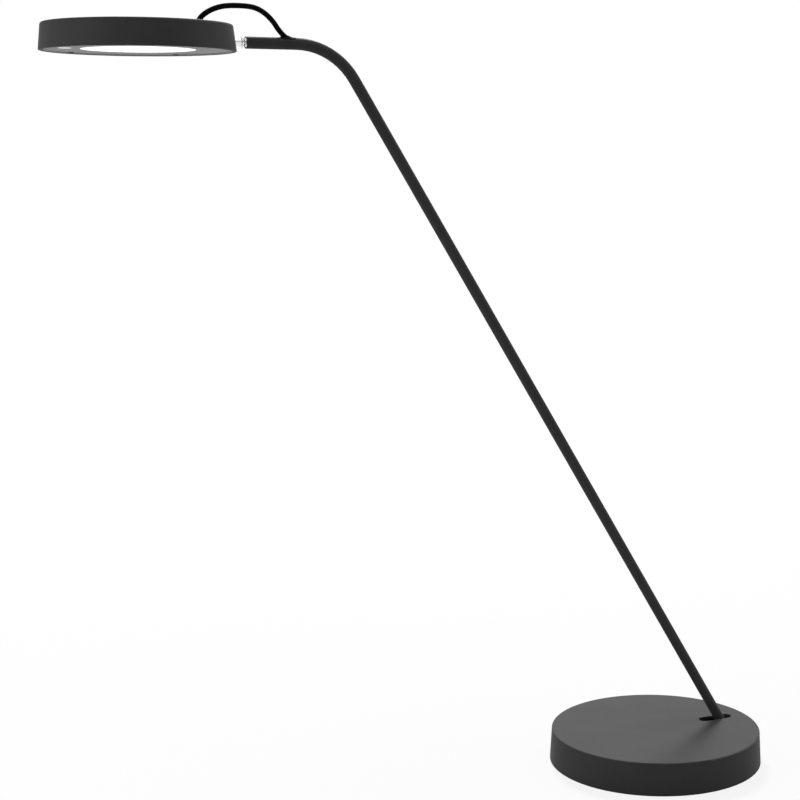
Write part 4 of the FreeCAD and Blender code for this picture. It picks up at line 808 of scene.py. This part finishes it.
@dataclass
class Arm:
    """The bent tube on its knuckle, with the lip where the lead comes out."""

    tube_radius: float = 4.0 * MM
    run_height: float = 555.7 * MM
    slot_middle: float = -292.8 * MM
    slot_half: float = 3.05 * MM
    slot_end: float = 2.15 * MM
    lead_at: float = -293.84 * MM
    lead_reach: float = 2.88 * MM
    lead_half: float = 1.86 * MM
    lead_lean: float = -1.19
    lip_width: float = 0.95 * MM
    collar: float = 0.6 * MM
    flare: float = 0.9 * MM

    def lip(self) -> bpy.types.Object:
        """The rubber lip that closes the slot round the lead.

        Each ring of points lies between two outlines at the same angle a. The slot's outline,
        grown by d, is at (middle + sign(cos a) half + (end + d) cos a, (end + d) sin a). The
        lead's outline, grown by d, is at (lead + (reach + d) cos a, (half + d) sin a), and leans
        with the lead by its height above the tube. Heights are counted from the tube's skin, the
        root of radius squared less y squared. The collar is higher by the flare times the
        square of cos a on the side of the bend, where it also leans outwards.

        Returns:
            The new piece.
        """
        angle = np.linspace(0, 2 * math.pi, 144, endpoint=False)
        cos, sin = np.cos(angle), np.sin(angle)
        bend_side = np.clip(cos, 0, 1) ** 2

        def slot(grown: float) -> np.ndarray:
            """The slot's outline, grown."""
            end = self.slot_end + grown
            x = self.slot_middle + np.sign(cos) * self.slot_half + end * cos
            return np.stack([x, end * sin], axis=-1)

        def lead(grown: float, height: np.ndarray | float) -> np.ndarray:
            """The lead's outline at a height, grown."""
            x = self.lead_at + self.lead_lean * height + (self.lead_reach + grown) * cos
            return np.stack([x + 1.6 * grown * bend_side, (self.lead_half + grown) * sin], axis=-1)

        collar_rings = (
            (0.0, -0.4),
            (0.0, 0.5),
            (0.02, 0.93),
            (0.08, 1.0),
            (0.2, 0.94),
            (0.36, 0.72),
            (0.55, 0.43),
        )
        pad_rings = ((0.0, 0.3), (0.35, 0.17), (1.0, 0.12))
        edge_rings = ((-0.08, 0.1), (0.0, 0.05), (0.0, -0.02))
        top = self.collar + self.flare * bend_side
        rings: list[tuple[np.ndarray, np.ndarray]] = []
        for grown, share in collar_rings:
            rings.append((lead(grown * MM, np.maximum(share, 0) * top), top * share))
        foot, edge = lead(0.75 * MM, 0.25 * MM), slot(self.lip_width - 0.25 * MM)
        for share, height in pad_rings:
            rings.append((foot + (edge - foot) * share, np.full_like(angle, height * MM)))
        for grown, height in edge_rings:
            rings.append((slot(self.lip_width + grown * MM), np.full_like(angle, height * MM)))
        rings += [(slot(-0.03 * MM), np.full_like(angle, h * MM)) for h in (-0.03, -0.5)]
        flat = np.array([outline for outline, _ in rings])
        skin = np.sqrt(np.maximum(self.tube_radius**2 - flat[..., 1] ** 2, 1e-8))
        z = self.run_height + skin + np.array([height for _, height in rings])
        return surface("lead_lip", np.concatenate([flat, z[..., None]], axis=-1), closed=True, sharp_deg=50)

    def build(self, lamp: Lamp) -> None:
        """Dresses the arm's parts and sets the lip.

        Args:
            lamp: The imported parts.
        """
        lamp.dress("arm_knuckle", "socket_grub_screws", "arm_tube", "arm_lead", "tilt_fork", "tilt_pin")
        lamp.add(self.lip(), "rubber_black", "lead_exit_lip", "arm")


@dataclass
class TiltJoint:
    """The turning stem on the tilt pin, and the free loop of lead over it."""

    pin: Point = (-319.602 * MM, 0.0, 555.7 * MM)
    flange_start: float = -4.5 * MM
    flange_thickness: float = 1.1 * MM
    flange_radius: float = 4.1 * MM
    shaft_radius: float = 2.25 * MM
    shaft_end: float = -28.9 * MM
    collar_radius: float = 2.55 * MM
    collar_end: float = -10.9 * MM
    tongue_half: float = 1.2 * MM
    eye_radius: float = 2.4 * MM
    neck_half: float = 1.4 * MM
    loop_arm: list[tuple[float, float]] = field(
        default_factory=lambda: [
            (25.4, 4.3),
            (21.6, 7.5),
            (16.7, 15.05),
            (9.9, 20.95),
            (1.9, 23.86),
            (-6.1, 23.86),
        ]
    )
    loop_head: list[tuple[float, float]] = field(
        default_factory=lambda: [
            (-6.1, 23.86),
            (-13.4, 23.86),
            (-21.4, 22.25),
            (-28.5, 18.9),
            (-33.8, 14.3),
            (-36.3, 7.9),
        ]
    )

    def at(self, x: float, z: float, y: float = 0.0) -> Point:
        """A point given in millimetres from the pin, in the lamp's frame."""
        return (self.pin[0] + x * MM, y * MM, self.pin[2] + z * MM)

    def stem(self) -> bpy.types.Object:
        """The flange, collar and shaft, turned from one outline round the stem's line.

        Returns:
            The new piece.
        """
        back = self.flange_start - self.flange_thickness
        corners = [
            (0.0, self.flange_start, 0.0),
            (self.flange_radius, self.flange_start, 0.3 * MM),
            (self.flange_radius, back, 0.3 * MM),
            (self.collar_radius, back, 0.15 * MM),
            (self.collar_radius, self.collar_end, 0.12 * MM),
            (self.shaft_radius, self.collar_end, 0.1 * MM),
            (self.shaft_radius, self.shaft_end, 0.3 * MM),
            (0.0, self.shaft_end, 0.0),
        ]
        return turned("stem_shaft", rounded_profile(corners), self.pin, Axis.X, sides=72)

    def tongue(self) -> bpy.types.Object:
        """The flat tongue: a round eye with a straight neck to the flange.

        Its outline is, at each angle a, the circle of the eye, and where the neck is wider, the
        neck's two straight sides up to the flange. The outline shrinks by the edge's chamfer on
        both faces.

        Returns:
            The new piece.
        """
        join = math.asin(self.neck_half / self.eye_radius)
        angle = np.linspace(-(math.pi - join), math.pi - join, 60)
        eye = np.stack([self.eye_radius * np.cos(angle), self.eye_radius * np.sin(angle)], axis=-1)
        neck = np.array([[self.flange_start, self.neck_half], [self.flange_start, -self.neck_half]])
        outline = np.vstack([eye, neck])
        half, chamfer = self.tongue_half, 0.15 * MM
        layers = [(-half, 1.0), (-half + chamfer, 0.0), (half - chamfer, 0.0), (half, 1.0)]
        rows = []
        for y, share in layers:
            scaled = outline * (1 - share * chamfer / self.eye_radius)
            rows.append(np.stack([scaled[:, 0], np.full(len(outline), y), scaled[:, 1]], axis=-1))
        return surface("stem_tongue", np.array(rows) + np.array(self.pin), closed=False)

    def build(self, lamp: Lamp) -> None:
        """Sets the stem and the two halves of the loop, and dresses the stem's rings.

        Args:
            lamp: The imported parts.
        """
        lamp.add(self.stem(), "chrome", "swivel_stem", "stem")
        lamp.add(self.tongue(), "chrome", "swivel_stem", "stem")
        lamp.dress("stem_retaining_rings", "stem_wave_washer")
        Lead(
            name="lead_loop_from_arm",
            node="lead_loop_arm_half",
            route=[self.at(*p) for p in self.loop_arm],
            length=0.0392,
            bodies=("arm", "stem"),
            bend=(self.at(*self.loop_arm[0]), self.at(*self.loop_arm[-1])),
        ).build(lamp)
        Lead(
            name="lead_loop_to_head",
            node="lead_loop_head_half",
            route=[self.at(*p) for p in self.loop_head],
            length=0.0370,
            bodies=("stem", "head"),
            bend=(self.at(*self.loop_head[0]), self.at(-28.5, 18.9)),
        ).build(lamp)


@dataclass
class Head:
    """The flat head: shell, bezel, light window, dimmer and what is inside."""

    middle: Point = (-394.002 * MM, 0.0, 548.58 * MM)
    button_reach: float = -47.4 * MM
    button_radius: float = 4.3 * MM
    button_face: float = 0.75 * MM
    button_top: float = 3.1 * MM
    dome_low: float = 3.11 * MM
    dome_high: float = 3.99 * MM
    dome_radius: float = 1.6 * MM
    button_flange: float = 5.3 * MM
    button_flange_height: float = 0.55 * MM
    dish: float = 0.15 * MM
    entry_reach: float = 38.65 * MM
    entry_bore: float = 2.8 * MM
    grommet_neck: float = 3.5 * MM
    grommet_lip: float = 4.5 * MM
    lip_height: float = 0.5 * MM
    edge_outer: float = 60.42 * MM
    edge_inner: float = 59.42 * MM
    edge_low: float = 0.12 * MM
    edge_high: float = 1.0 * MM
    screw_circle: float = 57.5 * MM
    screw_angles: tuple[float, ...] = (52.0, 128.0, 232.0, 308.0)
    screw_radius: float = 1.9 * MM
    screw_low: float = 0.2 * MM
    recess_half: float = 0.34 * MM
    recess_side: float = 0.14 * MM
    recess_reach: float = 1.05 * MM
    recess_end: float = 0.2 * MM
    recess_depth: float = 0.4 * MM
    bezel_face: float = 0.9 * MM
    roof_under: float = 15.45 * MM
    roof_top: float = 17.25 * MM

    def button(self) -> bpy.types.Object:
        """The dimmer's cap: a flanged round with a shallow dish in its face.

        The dish is a parabola, its depth times one less the square of the distance from the
        middle over the dish's radius.

        Returns:
            The new piece.
        """
        rim = self.button_radius - 0.7 * MM
        reach = np.linspace(0, rim, 12)
        dish = np.stack([reach, self.button_face + self.dish * (1 - (reach / rim) ** 2)], axis=-1)
        corners = [
            (self.button_radius, self.button_face, 0.35 * MM),
            (self.button_radius, self.button_top - self.button_flange_height, 0.0),
            (self.button_flange, self.button_top - self.button_flange_height, 0.1 * MM),
            (self.button_flange, self.button_top, 0.1 * MM),
            (0.0, self.button_top, 0.0),
            (rim, self.button_face, 0.0),
        ]
        edge = rounded_profile(corners)[:-1]
        x, y, z = self.middle
        return turned("dimmer_cap", np.vstack([dish, edge]), (x + self.button_reach, y, z), Axis.Z)

    def spring_dome(self) -> bpy.types.Object:
        """The thin snap dome between the dimmer's cap and its switch.

        Returns:
            The new piece.
        """
        low, high, wide, thick = self.dome_low, self.dome_high, self.dome_radius, 0.12 * MM
        corners = [
            (0.0, high, 0.0),
            (wide * 0.5, high, 0.25 * MM),
            (wide, low, 0.0),
            (wide - 1.2 * thick, low, 0.0),
            (wide * 0.5 - 0.6 * thick, high - thick, 0.2 * MM),
            (0.0, high - thick, 0.0),
        ]
        x, y, z = self.middle
        return turned("snap_dome", rounded_profile(corners), (x + self.button_reach, y, z), Axis.Z, sides=64)

    def grommet(self) -> bpy.types.Object:
        """The rubber grommet of the head's top, with two soft lips.

        Returns:
            The new piece.
        """
        low, high, lip = self.roof_under, self.roof_top, self.lip_height
        corners = [
            (self.entry_bore, low - lip, 0.2 * MM),
            (self.grommet_lip, low - lip, 0.2 * MM),
            (self.grommet_lip, low, 0.0),
            (self.grommet_neck, low, 0.0),
            (self.grommet_neck, high, 0.0),
            (self.grommet_lip, high, 0.0),
            (self.grommet_lip, high + lip, 0.3 * MM),
            (self.entry_bore, high + lip, 0.25 * MM),
        ]
        x, y, z = self.middle
        return turned("head_lead_grommet", rounded_profile(corners), (x + self.entry_reach, y, z), Axis.Z)

    def bezel_edge(self) -> bpy.types.Object:
        """The sloped bead round the bezel, just inside the shell's rim.

        Returns:
            The new piece.
        """
        corners = [
            (self.edge_inner, self.bezel_face - 0.04 * MM, 0.0),
            (self.edge_outer - 0.12 * MM, self.edge_low, 0.05 * MM),
            (self.edge_outer, self.edge_low, 0.03 * MM),
            (self.edge_outer, self.edge_high, 0.0),
            (self.edge_inner, self.edge_high, 0.0),
        ]
        return turned("bezel_bead", rounded_profile(corners), self.middle, Axis.Z, sides=256)

    def screw_head(self, name: str, angle: float) -> bpy.types.Object:
        """A low domed screw head with a cross recess.

        At distance r and angle a the dome stands below the bezel's face by its height times the
        root of one less the fourth power of r over its radius. The recess is cut where the
        smaller of |r cos a| and |r sin a| is under an arm's half width and the larger is under
        its reach, with soft edges.

        Args:
            name: The piece's name.
            angle: Where it stands round the bezel, in degrees.

        Returns:
            The new piece.
        """
        reach = self.screw_radius * np.sin(np.linspace(0.01, 1, 22) * math.pi / 2)
        sides = 64
        turn = np.linspace(0, 2 * math.pi, sides, endpoint=False)
        u, v = reach[:, None] * np.cos(turn), reach[:, None] * np.sin(turn)
        small, large = np.minimum(abs(u), abs(v)), np.maximum(abs(u), abs(v))
        across = np.clip((self.recess_half - small) / self.recess_side, 0, 1)
        cut = across * np.clip((self.recess_reach - large) / self.recess_end, 0, 1)
        dome = np.sqrt(np.clip(1 - (reach / self.screw_radius) ** 4, 0, 1))[:, None]
        tall = self.bezel_face - self.screw_low
        z = self.bezel_face - tall * dome + self.recess_depth * cut
        foot = np.stack([u[-1], v[-1], np.full(sides, self.bezel_face + 0.05 * MM)], axis=-1)
        rows = np.concatenate([np.stack([u, v, z], axis=-1), foot[None]])
        x, y, base = self.middle
        round_bezel = math.radians(angle)
        x += self.screw_circle * math.cos(round_bezel)
        y += self.screw_circle * math.sin(round_bezel)
        return surface(name, rows + np.array((x, y, base)), closed=False, sharp_deg=40)

    def build(self, lamp: Lamp) -> None:
        """Dresses the head's parts and sets the dimmer's cap, the bead, the screws and the grommet.

        Args:
            lamp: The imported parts.
        """
        lamp.dress(
            "head_shell",
            "bezel_ring",
            "bezel_screws",
            "diffuser",
            "reflector_ring",
            "led_board",
            "led_chips",
            "heat_spreader",
            "heat_spreader_screws",
            "stem_block",
            "stem_block_screws",
            "stem_bush",
            "push_switch",
            "switch_board",
            "driver_board",
            "driver_parts",
            "board_screws",
            "head_wires",
            "switch_wire",
        )
        # The cap's finish carries a painted glow that brightens it in the head's shade.
        lamp.add(self.button(), "button_white", "dimmer_button", "button")
        dome = lamp.add(self.spring_dome(), "spring_steel", "button_spring_dome")
        x, y, z = self.middle
        fixed, moved = ((x + self.button_reach, y, z + height) for height in (self.dome_high, self.dome_low))
        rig.blend(dome, "head", "button", start=fixed, end=moved)
        lamp.add(self.bezel_edge(), "bezel_plastic", None, "head")
        for i, angle in enumerate(self.screw_angles, start=1):
            lamp.add(self.screw_head(f"bezel_screw_head_{i}", angle), "dark_steel", None, "head")
        lamp.add(self.grommet(), "rubber_black", "head_grommet", "head")


@dataclass
class Studio:
    """Pale floor, soft lamps and the camera."""

    eye: Point = (-0.63841, -1.13844, 0.48252)
    right: Point = (0.911166512, -0.412035906, -0.001413910)
    up: Point = (0.079627809, 0.172718179, 0.981747342)
    lens: float = 75.945
    shift: tuple[float, float] = (-0.14375, 0.10026)
    middle: Point = (-0.16, 0.0, 0.25)
    head: Point = (-0.394, 0.0, 0.56)
    band_middle: float = 0.31
    band_half: float = 0.09
    band_faded: float = 0.14
    band_dark: float = 0.02
    floor_seen: float = 0.95
    floor_white: float = 0.86

    def camera(self) -> None:
        """A camera with its axes given by its right and up directions."""
        data = bpy.data.cameras.new("view")
        data.lens = self.lens
        data.sensor_width = 36.0
        data.shift_x, data.shift_y = self.shift
        made = bpy.data.objects.new("view", data)
        right, up = Vector(self.right), Vector(self.up)
        turn = Matrix((right, up, right.cross(up))).transposed().to_4x4()
        made.matrix_world = Matrix.Translation(self.eye) @ turn
        bpy.context.scene.collection.objects.link(made)
        bpy.context.scene.camera = made

    def backdrop_share(self, tree: bpy.types.NodeTree) -> bpy.types.NodeSocket:
        """Is 1 for what the camera, a reflection or a clear piece shows, and 0 for soft light."""
        path = tree.nodes.new("ShaderNodeLightPath")
        either = path.outputs["Is Camera Ray"]
        for name in ("Is Glossy Ray", "Is Transmission Ray"):
            both = tree.nodes.new("ShaderNodeMath")
            both.operation = "MAXIMUM"
            tree.links.new(either, both.inputs[0])
            tree.links.new(path.outputs[name], both.inputs[1])
            either = both.outputs[0]
        return either

    def band(self, tree: bpy.types.NodeTree, place: bpy.types.NodeSocket) -> bpy.types.NodeSocket:
        """How bright a reflection sees the studio.

        It is white, but for a dark band above the backdrop, between 13 and 24 degrees up, that
        draws thin lines on bright metal. The camera never sees the band.

        Args:
            tree: The world's nodes.
            place: The direction looked at.

        Returns:
            A strength from 0.02 to 1.
        """
        path = tree.nodes.new("ShaderNodeLightPath")
        parts = tree.nodes.new("ShaderNodeSeparateXYZ")
        tree.links.new(place, parts.inputs[0])
        steps = [("SUBTRACT", self.band_middle), ("ABSOLUTE", 0.0)]
        value = parts.outputs["Z"]
        for operation, number in steps:
            node = tree.nodes.new("ShaderNodeMath")
            node.operation = operation
            node.inputs[1].default_value = number
            tree.links.new(value, node.inputs[0])
            value = node.outputs[0]
        grow = tree.nodes.new("ShaderNodeMapRange")
        grow.inputs["From Min"].default_value = self.band_half
        grow.inputs["From Max"].default_value = self.band_faded
        grow.inputs["To Min"].default_value = self.band_dark
        tree.links.new(value, grow.inputs["Value"])
        either = tree.nodes.new("ShaderNodeMath")
        either.operation = "MAXIMUM"
        tree.links.new(grow.outputs["Result"], either.inputs[0])
        tree.links.new(path.outputs["Is Camera Ray"], either.inputs[1])
        return either.outputs[0]

    def world(self, front: float = 0.03, back: float = 0.42, towards: Point = (0.58, 0.69, -0.43)) -> None:
        """White behind the lamp, and a soft light round it that is stronger from behind.

        Args:
            front: The light from the camera's side.
            back: The light from the far side.
            towards: The direction in which it grows.
        """
        made = bpy.data.worlds.new("studio")
        made.use_nodes = True
        tree = made.node_tree
        tree.nodes.clear()
        soft, white = (tree.nodes.new("ShaderNodeBackground") for _ in range(2))
        place = tree.nodes.new("ShaderNodeTexCoord")
        along = tree.nodes.new("ShaderNodeVectorMath")
        along.operation = "DOT_PRODUCT"
        along.inputs[1].default_value = towards
        grow = tree.nodes.new("ShaderNodeMapRange")
        grow.inputs["From Min"].default_value = -1.0
        grow.inputs["From Max"].default_value = 0.25
        grow.inputs["To Min"].default_value = front
        grow.inputs["To Max"].default_value = back
        tree.links.new(place.outputs["Generated"], along.inputs[0])
        tree.links.new(along.outputs["Value"], grow.inputs["Value"])
        tree.links.new(grow.outputs["Result"], soft.inputs["Strength"])
        tree.links.new(self.band(tree, place.outputs["Generated"]), white.inputs["Strength"])
        for shader in (soft, white):
            shader.inputs["Color"].default_value = (1.0, 1.0, 1.0, 1.0)
        mix = tree.nodes.new("ShaderNodeMixShader")
        output = tree.nodes.new("ShaderNodeOutputWorld")
        tree.links.new(self.backdrop_share(tree), mix.inputs["Fac"])
        tree.links.new(soft.outputs[0], mix.inputs[1])
        tree.links.new(white.outputs[0], mix.inputs[2])
        tree.links.new(mix.outputs[0], output.inputs["Surface"])
        bpy.context.scene.world = made

    def floor(self, size: float = 14.0, tone: float = 0.33, fade: float = 0.9) -> None:
        """A pale floor that keeps the lamp's faint shadow and fades to white away from it.

        Args:
            size: Its side.
            tone: Its colour for soft light.
            fade: Where it is fully white.
        """
        half = size / 2
        mesh = bpy.data.meshes.new("floor")
        corners = np.array([[-half, -half, 0], [half, -half, 0], [half, half, 0], [-half, half, 0]])
        mesh.from_pydata(corners.tolist(), [], [(0, 1, 2, 3)])
        made = bpy.data.objects.new("floor", mesh)
        bpy.context.scene.collection.objects.link(made)
        material = bpy.data.materials.new("floor")
        material.use_nodes = True
        tree = material.node_tree
        tree.nodes.clear()
        plain, seen = (tree.nodes.new("ShaderNodeBsdfDiffuse") for _ in range(2))
        plain.inputs["Color"].default_value = (tone, tone, tone, 1.0)
        seen.inputs["Color"].default_value = (*(self.floor_seen,) * 3, 1.0)
        white = tree.nodes.new("ShaderNodeEmission")
        white.inputs["Strength"].default_value = 1.0
        faint = tree.nodes.new("ShaderNodeMixShader")
        place = tree.nodes.new("ShaderNodeTexCoord")
        scaled = tree.nodes.new("ShaderNodeMapping")
        scaled.inputs["Scale"].default_value = (1 / fade,) * 3
        ball = tree.nodes.new("ShaderNodeTexGradient")
        ball.gradient_type = "SPHERICAL"
        share = tree.nodes.new("ShaderNodeMapRange")
        share.inputs["To Min"].default_value = 1.0
        share.inputs["To Max"].default_value = self.floor_white
        tree.links.new(place.outputs["Object"], scaled.inputs["Vector"])
        tree.links.new(scaled.outputs["Vector"], ball.inputs["Vector"])
        tree.links.new(ball.outputs["Fac"], share.inputs["Value"])
        tree.links.new(share.outputs["Result"], faint.inputs["Fac"])
        mix = tree.nodes.new("ShaderNodeMixShader")
        output = tree.nodes.new("ShaderNodeOutputMaterial")
        tree.links.new(seen.outputs[0], faint.inputs[1])
        tree.links.new(white.outputs[0], faint.inputs[2])
        tree.links.new(self.backdrop_share(tree), mix.inputs["Fac"])
        tree.links.new(plain.outputs[0], mix.inputs[1])
        tree.links.new(faint.outputs[0], mix.inputs[2])
        tree.links.new(mix.outputs[0], output.inputs["Surface"])
        mesh.materials.append(material)
        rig.stage(made)

    def softbox(self, name: str, place: Point, size: tuple[float, float], watts: float, aim: Point) -> None:
        """A rectangular lamp.

        Args:
            name: Its name.
            place: Where it hangs.
            size: Its width and height.
            watts: Its power.
            aim: The point that it faces.
        """
        data = bpy.data.lights.new(name, "AREA")
        data.shape = "RECTANGLE"
        data.size, data.size_y = size
        data.energy = watts
        made = bpy.data.objects.new(name, data)
        made.location = place
        heading = Vector(aim) - Vector(place)
        made.rotation_euler = heading.to_track_quat("-Z", "Y").to_euler()
        made.visible_camera = False
        bpy.context.scene.collection.objects.link(made)

    def build(self) -> None:
        """Sets up the camera, the floor, the world and the lamps."""
        self.camera()
        self.world()
        self.floor()
        self.softbox("overhead", (0.3, 1.3, 1.9), (0.6, 0.5), 34.0, self.middle)
        self.softbox("left", (-1.2, -0.15, 0.75), (0.4, 0.4), 1.4, self.head)
        self.softbox("right", (0.6, 0.0, 1.3), (0.6, 0.6), 1.5, self.head)
        settings = bpy.context.scene.view_settings
        settings.view_transform = "Standard"
        log.info("studio: camera, floor and lamps")


def main() -> None:
    """Builds the lamp's looks in order and writes its size before and after."""
    logging.basicConfig(level=logging.INFO, format="%(message)s")
    lamp = Lamp()
    packed = [list(corner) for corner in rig.bounds()]
    Studio().build()
    TiltJoint().build(lamp)
    Base().build(lamp)
    Arm().build(lamp)
    Head().build(lamp)
    dressed = [list(corner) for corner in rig.bounds()]
    with open("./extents.json", "w", encoding="utf-8") as out:
        json.dump({"packed": packed, "dressed": dressed}, out)
    log.info("packed %s, dressed %s", packed, dressed)


if __name__ == "__main__":
    main()
